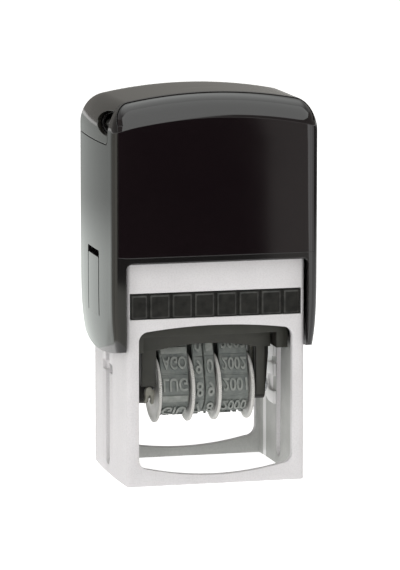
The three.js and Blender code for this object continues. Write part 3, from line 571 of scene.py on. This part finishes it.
def build_cap():
    """The cap's shell with its cover, front panel and latch tongues, all cut from one form."""
    cover_wall, cover_pocket_depth, panel_wall, panel_pocket_depth = 1.2, 1.5, 1.0, 1.3
    shell_notch, cover_notch = (12.0, 2.9), (12.7, 3.55)
    slot_widen, slot_high, tongue_high = 0.75, 67.6, 65.6
    rebate_low, rebate_width, rebate_depth = 105.8, 1.2, 0.25
    outer = cap_form("cap_outer", 0)
    shell = linked("cap_shell_fine", outer.data.copy())
    cut(shell, cap_form("cap_inner", CAP_WALL))
    cover_pocket = cut(cover_region(SEAM_GAP, SEAM_GAP),
                       cap_form("under_cover", cover_pocket_depth))
    panel_pocket = cut(panel_region(0.05, 0.3), cap_form("under_panel", panel_pocket_depth))
    cut(shell, cheek_cutter(), cutout_cutter(), cover_pocket, panel_pocket,
        notch_cutter(1, *shell_notch), notch_cutter(-1, *shell_notch),
        latch_region(1, slot_widen, slot_high), latch_region(-1, slot_widen, slot_high))
    cover = linked("top_cover_fine", outer.data.copy())
    common(cover, cover_region(0))
    cut(cover, cap_form("cover_inside", cover_wall), notch_cutter(1, *cover_notch),
        notch_cutter(-1, *cover_notch))
    panel = linked("front_panel_fine", outer.data.copy())
    common(panel, panel_region(0, 0))
    rebate = cut(box("rebate", -REACH, REACH, -REACH, REACH, rebate_low, ABOVE),
                 panel_region(-rebate_width, -rebate_width), cap_form("rebate_floor", rebate_depth))
    cut(panel, cap_form("panel_inside", panel_wall), rebate)
    dress(shell, cap_gloss, "cap", ["cap_shell"], 24)
    dress(cover, cover_gloss, "cap", ["top_cover"])
    dress(panel, panel_gloss, "cap", ["front_panel"])
    for side, name in ((-1, "left"), (1, "right")):
        tongue = linked("latch_tongue_%s_fine" % name, outer.data.copy())
        cut(tongue, cap_form("latch_inside", CAP_WALL))
        common(tongue, latch_region(side, 0, tongue_high))
        dress(tongue, cap_gloss, "latch_" + name, ["latch_tongue_" + name])
    bpy.data.objects.remove(outer)


build_cap()


# Frame

def window_outline():
    """The window of the front and rear walls, with a sagging sill and a bowed head."""
    half, turn, corner_steps, steps = 22.95, 3.0, 8, 48
    sill, sill_rise, head_drop = 2.7, 3.1, 1.7
    flat = half - turn
    sill_corner = sill + sill_rise * (flat / half) ** 2 + turn
    head_corner = WINDOW_HEAD - head_drop * (flat / half) ** 2 - turn
    across = [-flat + 2 * flat * i / steps for i in range(steps + 1)]
    points = [(x, sill + sill_rise * (x / half) ** 2) for x in across]
    points += arc(flat, sill_corner, turn, -QUARTER, 0, corner_steps)[1:]
    points += arc(flat, head_corner, turn, 0, QUARTER, corner_steps)
    points += [(x, WINDOW_HEAD - head_drop * (x / half) ** 2) for x in reversed(across[1:-1])]
    points += arc(-flat, head_corner, turn, QUARTER, 2 * QUARTER, corner_steps)
    points += arc(-flat, sill_corner, turn, 2 * QUARTER, 3 * QUARTER, corner_steps)[:-1]
    return points


def hook_outline():
    """The hook that turns the carriage, seen from the side."""
    root, centre_y, centre_z, outer, inner = 2.7, 7.4, 24.1, 6.1, 2.3
    return ([(root, centre_z - outer)] + arc(centre_y, centre_z, outer, -QUARTER, QUARTER, 24)
            + [(root, centre_z + outer), (root, centre_z + inner)]
            + arc(centre_y, centre_z, inner, QUARTER, -QUARTER, 16) + [(root, centre_z - inner)])


def build_frame():
    """The open frame, with hooks, rails and ledges inside its side walls."""
    size = (-FRAME_FRONT, FRAME_HALF, FRAME_BULGE, 1.2, 3.0)
    body = prism("lower_frame_fine", "z", bowed(*size, 0), 0, FRAME_TOP, 0.25, 0.5)
    wall_inside = FRAME_HALF - FRAME_SIDE_WALL
    half, depth = 26.5 - FRAME_SIDE_WALL, -FRAME_FRONT - FRAME_FACE_WALL
    slot_half, slot_depth, cross_depth = 25.6, 23.25, 26.25
    tools = [
        prism("hollow", "z", bowed(*size, FRAME_SIDE_WALL), -4, FRAME_TOP + 4),
        box("thinning", -half, half, -depth, depth, -4, FRAME_TOP + 4),
        prism("window", "y", window_outline(), -REACH, REACH),
        box("tray_slot", -slot_half, slot_half, -REACH, REACH, TRAY_LOW, TRAY_HIGH + 0.3),
    ]
    pin_slot = rounded(-2.4, 2.4, 2.8, PIVOT_Z + 4, 2.4, 10)
    cross = rounded(-6.2, 6.2, 30.6, 33.4, 0.4, 3)
    tools += [side_prism("pin_slot", pin_slot, side, slot_depth, REACH) for side in (1, -1)]
    tools += [side_prism("cross", cross, side, cross_depth, REACH) for side in (1, -1)]
    cut(body, *tools)
    rail = rounded(2.7, 11.6, 32.3, WINDOW_HEAD, 0.5, 3)
    ledge = rounded(-9, 9, 55.2, 57.2, 0.3, 2)
    for side in (1, -1):
        union(body, *[side_prism(name, outline, side, wall_inside - proud, wall_inside + 0.4, 0.3)
                      for name, outline, proud in (("hook", hook_outline(), 1.0),
                                                   ("rail", rail, 1.0), ("ledge", ledge, 0.75))])
    softened(body, 0.22, 40)
    # Painted shade on the inner walls, a darker copy of the frame plastic, and a painted highlight
    # on the hooks and rails, a lighter and smoother copy that stands out from them
    toned(body, lambda spot: abs(spot.x) < 24.95 and abs(spot.y) < 20.1,
          lambda spot: abs(spot.x) < 24.68 and 2.4 < spot.y < 14 and 17.6 < spot.z < 47)
    return dress(body, frame_plastic, "frame", ["lower_frame"],
                 more=[inner_wall_painted_shade, hook_rail_painted_highlight])


build_frame()


# Cartridge, pad and spring

def build_tray():
    """The cartridge, with raised pads over its ribbed faces, their rims painted lighter as a
    highlight.
    """
    face = -FRAME_FRONT - 0.15
    wall, half, pitch, count = face - 0.3, 25.1, 6.65, 8
    low, high, gap, groove_half = TRAY_LOW + 0.12, TRAY_HIGH - 0.3, 0.38, 0.35
    body = box("pad_tray_fine", -23.7, 23.7, -wall, wall, TRAY_LOW, TRAY_HIGH)
    outline = rounded(-25.3, 25.3, TRAY_LOW, TRAY_HIGH, 0.35, 3)
    union(body, prism("face", "y", outline, -wall, 1.3 - wall),
          prism("face", "y", outline, wall - 1.3, wall))
    edges = [(i - count // 2) * pitch for i in range(count + 1)]
    cut(body, *[box("groove", x - groove_half, x + groove_half, y0, y1, 40, 70)
                for x in edges[1:-1]
                for y0, y1 in ((-face - 1, 0.6 - face), (face - 0.6, face + 1))])
    # Depth behind the face and inset of a pad's rings, from its middle out to its foot
    steps = ((0.0, 1.0), (0.0, 0.55), (0.04, 0.42), (0.12, 0.3), (0.2, 0.1), (0.5, 0.0))
    pads = []
    for left, right in zip(edges, edges[1:]):
        left, right = max(left + gap, -half), min(right - gap, half)
        for sign in (-1, 1):
            rings = []
            for depth, inset in steps:
                shape = rounded(left + inset, right - inset, low + inset, high - inset, 0.35, 3)
                rings.append([(u, sign * (face - depth), v) for u, v in shape])
            pads.append(loft("pad", rings))
    union(body, *pads)
    cut(body, prism("pocket", "z", rounded(-23.1, 23.1, -16.0, 16.0, 1.2, 4), 40, TRAY_CEILING))
    # The pad rims, painted lighter as a highlight
    toned(body, lambda spot: 21.78 < abs(spot.y) < 21.995)
    return dress(body, tray_plastic, "frame", ["pad_tray"], 28, [pad_rim_painted_highlight])


def build_pad():
    """Felt pad: crowned towards the plate, with soft edges and pulled-in sides."""
    half_x, half_y, spacing = 22.8, 15.7, 1.5
    top, low = TRAY_CEILING, TRAY_LOW + 0.8
    outline = rounded(-half_x, half_x, -half_y, half_y, 2.2, 10)
    fine = []
    for a, b in zip(outline, outline[1:] + outline[:1]):
        count = max(1, round(math.hypot(b[0] - a[0], b[1] - a[1]) / spacing))
        fine += [(a[0] + (b[0] - a[0]) * i / count, a[1] + (b[1] - a[1]) * i / count)
                 for i in range(count)]
    rings = [[(u * k, v * k, top) for u, v in fine] for k in (0.4, 0.8)]
    for z, inset in ((top, 0.25), (top - 0.2, 0.1), (top - 1.2, 0.22), (top - 2.6, 0.3),
                     (low + 1.6, 0.15), (low + 0.9, 0.0), (low + 0.5, 0.1), (low + 0.25, 0.35),
                     (low + 0.15, 0.8)):
        rings.append([(u, v, z) for u, v in pushed_in(fine, inset)])
    for share in (0.9, 0.78, 0.62, 0.45, 0.28, 0.12):
        ring = []
        for u, v in fine:
            x, y = u * share, v * share
            swell = 0.15 * (1 - share) * (1 + 0.5 * math.sin(2.1 * x + 0.7 * y) * share)
            ring.append((x, y, low + 0.15 - swell))
        rings.append(ring)
    pad = fan_loft("ink_pad_fine", rings)
    return dress(pad, ink_felt, "frame", ["ink_pad"], 60)


def build_spring():
    """Round-wire compression spring, its ends closed and tapered."""
    low, high, wire, radius = 59.2, 103.8, 0.65, 5.2
    turns, dead, steps_per_turn, sides = 9, 0.5, 40, 14
    steps = turns * steps_per_turn
    total = high - low - 2 * wire
    close = 2 * wire * dead
    rings = []
    for i in range(steps + 1):
        turn = turns * i / steps
        if turn < dead:
            z = close * turn / dead
        elif turn > turns - dead:
            z = total - close * (turns - turn) / dead
        else:
            z = close + (total - 2 * close) * (turn - dead) / (turns - 2 * dead)
        angle = turn * 2 * math.pi
        thick = wire * min(1.0, 0.35 + 3.0 * min(turn, turns - turn))
        ring = []
        for k in range(sides):
            lean = 2 * math.pi * k / sides
            reach = radius + thick * math.cos(lean)
            ring.append((math.cos(angle) * reach, math.sin(angle) * reach,
                         low + wire + z + thick * math.sin(lean)))
        rings.append(ring)
    coil = fan_loft("return_spring_fine", rings)
    dress(coil, steel, "frame", ["return_spring"], 50)
    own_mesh(coil)
    return coil


build_tray()
build_pad()
build_spring()


# Carriage and inner pieces, refined from their CAD meshes

def refined(node, material, body, width, second=None, where=None, parts=()):
    """A finer piece in a CAD node's place: its mesh and any more parts, with rounded edges."""
    obj = linked(node + "_fine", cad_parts[node].data.copy())
    if parts:
        union(cleaned(obj), *parts)
    softened(obj, width)
    if second:
        toned(obj, where)
    return dress(obj, material, body, [node], more=[second] if second else ())


# The claw that reaches round the carriage's left arm, seen from the front
CLAW = [(-18.15, 24.95), (-18.04, 23.83), (-18.42, 23.03), (-18.49, 22.14), (-17.85, 22.33),
        (-17.29, 22.97), (-17.21, 24.09), (-16.87, 24.59), (-16.54, 24.21), (-16.31, 23.38),
        (-16.54, 22.57), (-16.31, 21.81), (-15.64, 22.01), (-15.45, 23.15), (-15.29, 24.45),
        (-15.70, 25.77), (-16.15, 26.79), (-16.90, 27.20), (-17.73, 26.79), (-18.03, 26.06)]

# Painted light and shade: the top rail and the middle between the arms take a lighter, lit copy of
# the carriage plastic, the arms a darker, shaded one; the front legs of the arms are added
refined("carriage", carriage_painted_shade, "carriage", 0.3,
        second=carriage_painted_lit, where=lambda spot: spot.z > 42.7 or abs(spot.x) < 15.0,
        parts=[box("leg", -19.4, -15.1, -10.5, -7.9, 27.4, 38.6),
               box("leg", 15.1, 17.7, -10.5, -7.9, 23.6, 38.6)])
refined("text_plate", tray_plastic, "carriage", 0.15)
refined("text_rubber", text_rubber, "carriage", 0.12)
refined("wheel_axle", steel, "carriage", 0.2)
refined("pivot_pin_left", steel, "cap", 0.2)
refined("pivot_pin_right", steel, "cap", 0.2)
refined("spring_seat", frame_plastic, "frame", 0.25)
refined("yoke", yoke_plastic, "cap", 0.3)
# The bridge and its claw are painted in the lit tone of the carriage plastic
refined("dater_bridge", claw_painted_lit, "carriage", 0.12,
        parts=[prism("claw", "y", CLAW, -9.5, -8.1, 0.2, 0),
               box("finger", -15.9, -15.2, -9.0, -4.0, 24.2, 25.9)])


# Dater

def build_wheel(which, disc_x, drum_end):
    """A thumb wheel: a thin disc with fine beads round its rim, and its drum."""
    side = 1 if drum_end > disc_x else -1
    half, teeth, points_per_tooth, bead_depth = 0.45, 108, 6, 0.34
    span = abs(drum_end - disc_x)
    # Place along the axle from the disc's middle, radius, and how deep the beads cut there
    profile = [
        (-half + 0.1, 1.85, 0), (-half, 2.0, 0), (-half, 3.1, 0), (-half + 0.13, 3.3, 0),
        (-half + 0.13, 8.75, 0), (-half, 8.95, 0), (-half, 9.8, 0), (-half + 0.08, 9.98, 0.6),
        (-half + 0.2, 10.13, 1), (0, 10.15, 1), (half - 0.2, 10.13, 1), (half - 0.08, 9.98, 0.6),
        (half, 9.8, 0), (half, 8.95, 0), (half - 0.13, 8.75, 0), (half - 0.13, DRUM_RADIUS, 0),
        (span - 0.15, DRUM_RADIUS, 0), (span, DRUM_RADIUS - 0.15, 0), (span, 2.0, 0),
        (span - 0.1, 1.85, 0)]
    count = teeth * points_per_tooth
    points = []
    for x, radius, bead in profile:
        for i in range(count):
            angle = 2 * math.pi * i / count
            dip = (0.5 - 0.5 * math.cos(teeth * angle)) ** 1.4
            reach = radius - bead_depth * bead * dip
            points.append((disc_x + side * x, WHEEL_Y + reach * math.cos(angle),
                           WHEEL_Z + reach * math.sin(angle)))
    wheel = add_object(which + "_wheel_fine", points, skin(len(profile), count, True))
    return dress(wheel, wheel_plastic, which + "_dial", [which + "_wheel"], 40)


def band_run():
    """Points, outward normals and lengths along a band's outer face, from the front tangent up.

    The band runs round the wheel's drum and the two edges of the platen, its outer face lifted
    off them.
    """
    lift, spacing, full_turn = 1.2, 0.4, 2 * math.pi
    rounds = [(WHEEL_Y, WHEEL_Z, DRUM_RADIUS + lift),
              (-PLATEN_Y, PLATEN_Z, PLATEN_RADIUS + lift),
              (PLATEN_Y, PLATEN_Z, PLATEN_RADIUS + lift)]
    normals = []
    for k, (y0, z0, r0) in enumerate(rounds):
        y1, z1, r1 = rounds[(k + 1) % 3]
        along = math.atan2(z1 - z0, y1 - y0)
        normals.append(along + math.acos((r0 - r1) / math.hypot(y1 - y0, z1 - z0)))
    spots = []
    for k in (1, 2, 0):
        y, z, r = rounds[k]
        start, end = normals[k - 1], normals[k]
        while end > start:
            end -= full_turn
        steps = max(6, round((start - end) * r / spacing))
        for i in range(steps + 1):
            angle = start + (end - start) * i / steps
            spots.append((y + r * math.cos(angle), z + r * math.sin(angle), angle))
    spots.insert(0, spots[-1])
    path = [(*spots[0], 0.0)]
    for before, spot in zip(spots, spots[1:]):
        step = math.hypot(spot[0] - before[0], spot[1] - before[1])
        if step < 1e-6:
            continue
        pieces = max(1, round(step / spacing))
        turn = (spot[2] - before[2] + math.pi) % full_turn - math.pi
        for i in range(1, pieces + 1):
            share = i / pieces
            path.append((before[0] + (spot[0] - before[0]) * share,
                         before[1] + (spot[1] - before[1]) * share,
                         before[2] + turn * share, path[-1][3] + step / pieces))
    run = np.array(path)
    run[:, 2] = np.unwrap(run[:, 2])
    return run


RUN = band_run()
BAND_LENGTH = RUN[-1][3]


def on_band(s, height):
    """Y and z of a point a length along the band and a height off its outer face."""
    y, z, angle = (np.interp(s % BAND_LENGTH, RUN[:, 3], RUN[:, k]) for k in range(3))
    return y + height * math.cos(angle), z + height * math.sin(angle)


def swept(section, stations, closed):
    """Points and faces of a section in x and height, swept along the band."""
    count = len(section(0))
    points = [(x, *on_band(s, height)) for k, s in enumerate(stations) for x, height in section(k)]
    faces = skin(len(stations), count, closed)
    if not closed:
        faces += [tuple(range(count)), tuple(range(len(points) - count, len(points)))[::-1]]
    return points, faces


def plate(x0, x1, s0, s1, top):
    """A low raised plate on the band with bevelled edges."""
    root, edge = -0.1, min(0.14, top * 0.7)
    stations = [s0, *np.linspace(s0 + edge, s1 - edge, 9), s1]

    def section(k):
        high = top - edge if k in (0, len(stations) - 1) else top
        side = edge if high == top else 0.0
        return [(x0, root), (x1, root), (x1, top - edge), (x1 - side, high), (x0 + side, high),
                (x0, top - edge)]

    return swept(section, stations, False)


def lettering(text, middle, width, s_middle, height, top):
    """Raised mirror-image characters bent onto the band, and which of their faces are on top."""
    slices, root, bolder = 9, 0.02, 0.022
    curve = bpy.data.curves.new("lettering", "FONT")
    curve.body = text
    curve.extrude = 0.5
    curve.resolution_u = 4
    curve.offset = bolder
    holder = linked("lettering", curve)
    bpy.context.view_layer.update()
    graph = bpy.context.evaluated_depsgraph_get()
    mesh = bpy.data.meshes.new_from_object(holder.evaluated_get(graph))
    bpy.data.objects.remove(holder)
    bm = bmesh.new()
    bm.from_mesh(mesh)
    bpy.data.meshes.remove(mesh)
    bmesh.ops.remove_doubles(bm, verts=bm.verts, dist=1e-5)
    corners = np.array([v.co for v in bm.verts])
    low, high = corners.min(0), corners.max(0)
    for i in range(1, slices):
        level = low[1] + (high[1] - low[1]) * i / slices
        bmesh.ops.bisect_plane(bm, geom=bm.verts[:] + bm.edges[:] + bm.faces[:],
                               plane_co=(0, level, 0), plane_no=(0, 1, 0))
    bm.verts.index_update()
    points = []
    for v in bm.verts:
        x = middle + ((v.co.x - low[0]) / (high[0] - low[0]) - 0.5) * width
        s = s_middle - ((v.co.y - low[1]) / (high[1] - low[1]) - 0.5) * height
        points.append((x, *on_band(s, top if v.co.z > 0 else root)))
    faces = [tuple(v.index for v in face.verts) for face in bm.faces]
    tops = [all(v.co.z > 0 for v in face.verts) for face in bm.faces]
    bm.free()
    return points, faces, tops


def build_band(which, x0, x1, rows, width, height):
    """A rubber date band: its loop, a framed cell for each mark, and the raised marks.

    A row is a length along the band and its mark, where "bar" stands for a plain raised bar.
    """
    edge, thickness, stations, pitch_limit, gap = 0.15, 0.9, 180, 6.8, 0.22
    cell_margin, cell_top, mark_top = 0.12, 0.16, 0.75
    bar_margin, bar_half, bar_top = 0.25, 1.0, 0.45
    points, faces, raised = [], [], []

    def add(part_points, part_faces, tops=None):
        start = len(points)
        points.extend(part_points)
        faces.extend(tuple(i + start for i in face) for face in part_faces)
        raised.extend(tops or [False] * len(part_faces))

    loop = [(x0, -thickness), (x1, -thickness), (x1, -edge), (x1 - edge, 0), (x0 + edge, 0),
            (x0, -edge)]
    add(*swept(lambda k: loop, np.linspace(0, BAND_LENGTH, stations + 1)[:-1], True))
    for (s, mark), (before, _), (after, _) in zip(rows, rows[-1:] + rows[:-1],
                                                  rows[1:] + rows[:1]):
        if mark == "bar":
            bar = plate(x0 + bar_margin, x1 - bar_margin, s - bar_half, s + bar_half, bar_top)
            add(*bar, [True] * len(bar[1]))
            continue
        up = min((before - s) % BAND_LENGTH, pitch_limit) / 2 - gap
        down = min((s - after) % BAND_LENGTH, pitch_limit) / 2 - gap
        add(*plate(x0 + cell_margin, x1 - cell_margin, s - down, s + up, cell_top))
        add(*lettering(mark, (x0 + x1) / 2, width, s, height, mark_top))
    band = add_object(which + "_band_fine", points, faces)
    band.data.polygons.foreach_set("material_index", [int(top) for top in raised])
    return dress(band, band_rubber, "carriage", [which + "_band"], 30, [band_face])


def rows_round(known, marks):
    """The marks that the photo shows at their places, then the rest evenly round the back."""
    first, last = known[0][0], known[-1][0]
    pitch = (BAND_LENGTH - (first - last)) / (len(marks) + 1)
    return known + [(last - pitch * (i + 1), mark) for i, mark in enumerate(marks)]


build_wheel("month", -14.0, -4.75)
build_wheel("tens", -4.0, -0.15)
build_wheel("units", 4.0, 0.15)
build_wheel("year", 14.0, 4.75)
build_band("month", -13.25, -4.75, rows_round(
    [(13.6, "SET"), (10.1, "bar"), (6.3, "AGO"), (-0.1, "LUG"), (-4.2, "bar"), (-8.6, "GIU")],
    ["MAG", "APR", "MAR", "FEB", "GEN", "DIC", "NOV", "OTT"]), 7.3, 3.8)
build_band("tens", -3.25, -0.15, rows_round(
    [(11.4, "0"), (4.87, "9"), (-1.7, "8"), (-7.8, "7")], list("65432101")), 2.1, 4.2)
build_band("units", 0.15, 3.25, rows_round(
    [(11.6, "1"), (5.0, "0"), (-1.55, "9"), (-7.7, "8")], list("76543210")), 2.1, 4.2)
build_band("year", 4.75, 13.25, rows_round(
    [(11.8, "2003"), (5.5, "2002"), (-0.6, "2001"), (-7.0, "2000")],
    [str(year) for year in range(2011, 2003, -1)]), 7.4, 3.7)


# Studio

# How far the cards reach over the floor, and their left end
FAR = 2600
LEFT = -2200


def glow(name, shade, strength, colour=(1, 1, 1), fade=None):
    """A matt white that also glows, as a lit table or a reflector does.

    A fade is a far strength and the two distances from the middle of the floor, in metres,
    between which the glow falls or rises to it.
    """
    mat = plastic(name, (shade,) * 3, (shade * 1.01,) * 3, 3, (0.7, 0.8), 200, 0.001, specular=0.0)
    tree = mat.node_tree
    shader = tree.nodes["Principled BSDF"]
    shader.inputs["Emission Color"].default_value = (*colour, 1)
    if not fade:
        shader.inputs["Emission Strength"].default_value = strength
        return mat
    far_strength, near, far = fade
    reach = tree.nodes.new("ShaderNodeVectorMath")
    reach.operation = "LENGTH"
    tree.links.new(tree.nodes.new("ShaderNodeTexCoord").outputs["Object"], reach.inputs[0])
    span = tree.nodes.new("ShaderNodeMapRange")
    span.interpolation_type = "SMOOTHSTEP"
    span.inputs["From Min"].default_value = near
    span.inputs["From Max"].default_value = far
    span.inputs["To Min"].default_value = strength
    span.inputs["To Max"].default_value = far_strength
    tree.links.new(reach.outputs["Value"], span.inputs["Value"])
    tree.links.new(span.outputs["Result"], shader.inputs["Emission Strength"])
    return mat


def pale_floor():
    half = 9000
    floor = add_object("floor", [(-half, -half, 0), (half, -half, 0), (half, half, 0),
                                 (-half, half, 0)], [(0, 1, 2, 3)])
    floor.data.materials.append(glow("floor_white", 0.8, 0.86))


def card(name, corners, shade, strength=0.0, colour=(1, 1, 1), fade=None):
    """A flag or a reflector that only reflections see."""
    piece = add_object(name, corners, [tuple(range(len(corners)))])
    piece.data.materials.append(glow(name + "_shade", shade, strength, colour, fade))
    piece.visible_camera = False
    piece.visible_diffuse = False
    piece.visible_shadow = False
    piece.visible_transmission = False


def fan(near, far, start, end, steps=16):
    """Corners of a ring sector on the floor between two radii.

    start and end are bearings in degrees from the front towards the right.
    """
    corners = []
    for reach, order in ((far, range(steps + 1)), (near, range(steps, -1, -1))):
        for i in order:
            bearing = math.radians(start + (end - start) * i / steps)
            corners.append((reach * math.sin(bearing), -reach * math.cos(bearing), 1))
    return corners


def soft_light(name, place_at, target, width, height, radiance):
    """A rectangular softbox that reflections don't show, its strength given as radiance."""
    light = bpy.data.lights.new(name, "AREA")
    light.shape = "RECTANGLE"
    light.size = width
    light.size_y = height
    light.energy = radiance * math.pi * width * height
    obj = linked(name, light)
    obj.location = place_at
    aim = Vector(target) - Vector(place_at)
    obj.rotation_euler = aim.to_track_quat("-Z", "Y").to_euler()
    obj.visible_glossy = False


def studio_world(pale, room_colour):
    """Pale to the camera, and a dimmer room to reflections and to diffuse light."""
    world = bpy.data.worlds.new("studio")
    bpy.context.scene.world = world
    world.use_nodes = True
    tree = world.node_tree
    shown = tree.nodes["Background"]
    shown.inputs["Color"].default_value = (*pale, 1)
    room = tree.nodes.new("ShaderNodeBackground")
    room.inputs["Color"].default_value = (*room_colour, 1)
    mix = tree.nodes.new("ShaderNodeMixShader")
    path = tree.nodes.new("ShaderNodeLightPath")
    tree.links.new(path.outputs["Is Camera Ray"], mix.inputs["Fac"])
    tree.links.new(room.outputs["Background"], mix.inputs[1])
    tree.links.new(shown.outputs["Background"], mix.inputs[2])
    tree.links.new(mix.outputs["Shader"], tree.nodes["World Output"].inputs["Surface"])


pale_floor()
card("front_flag", fan(390, FAR, -86, 30), 0.03)
card("near_front_card", fan(150, 390, -86, 14), 0.1, 0.95, (1, 1, 0.9))
for start, end, strength in ((-106, -86, 1.0), (-130, -106, 0.6), (-150, -130, 0.35)):
    card("left_card_%d" % -start, fan(150, FAR, start, end, 4), 0.05, strength, (1, 0.98, 0.86))
card("brown_card", [(60, -190, 2), (695, -FAR, 2), (2000, -FAR, 2), (330, -190, 2)], 0.1, 0.5,
     (1, 0.95, 0.9))
for start, end, strength in ((30, 44, 1.05), (44, 62, 1.9), (62, 80, 1.5), (80, 96, 0.8)):
    card("right_card_%d" % start, fan(120, FAR, start, end, 4), 0.05, strength)
card("right_flag", fan(120, FAR, 96, 172), 0.02, 0.7, fade=(0.04, 0.3, 0.62))
card("side_card", fan(150, FAR, 176, 225), 0.1, 1.15, (0.95, 1, 0.96), (0.55, 0.4, 0.62))
card("roll_reflector", [(LEFT, -1500, 30), (330, -1500, 30), (400, -1500, 400),
                        (1500, -1400, 900), (FAR, -1100, 1400), (FAR, 100, 1700),
                        (LEFT, 100, 1700), (LEFT, -1100, 1100)], 0.1, 2.4, (0.97, 1, 0.98))
card("rear_reflector", [(FAR, 101, 1700), (FAR, 1500, 1300), (FAR, 2100, 1150),
                        (LEFT, 2100, 1150), (LEFT, 1500, 1300), (LEFT, 101, 1700)], 0.1, 1.9,
     (0.97, 1, 0.98), (0.5, 1.72, 2.3))
soft_light("overhead_softbox", (-0.15, -0.3, 0.85), (0, 0, 0.06), 1.1, 0.8, 1.5)
soft_light("left_softbox", (-0.95, -0.45, 0.5), (0, 0, 0.05), 0.6, 0.7, 1.8)
soft_light("front_softbox", (-0.2, -1.2, 0.5), (0, 0, 0.05), 0.7, 0.5, 0.62)
studio_world((1.0, 1.0, 1.0), (0.32, 0.31, 0.29))

camera = bpy.data.cameras.new("camera")
camera.sensor_fit = "HORIZONTAL"
camera.sensor_width = 36.0
camera.lens = 370.66
camera.clip_start = 0.1
camera.clip_end = 50.0
camera_object = linked("camera", camera)
camera_object.location = (-0.28819, -1.16308, 0.24543)
azimuth, pitch = math.radians(13.950), math.radians(9.022)
camera_object.rotation_euler = (QUARTER - pitch, 0.0, -azimuth)
bpy.context.scene.camera = camera_object
bpy.context.scene.view_settings.view_transform = "Standard"
bpy.context.scene.cycles.use_denoising = True
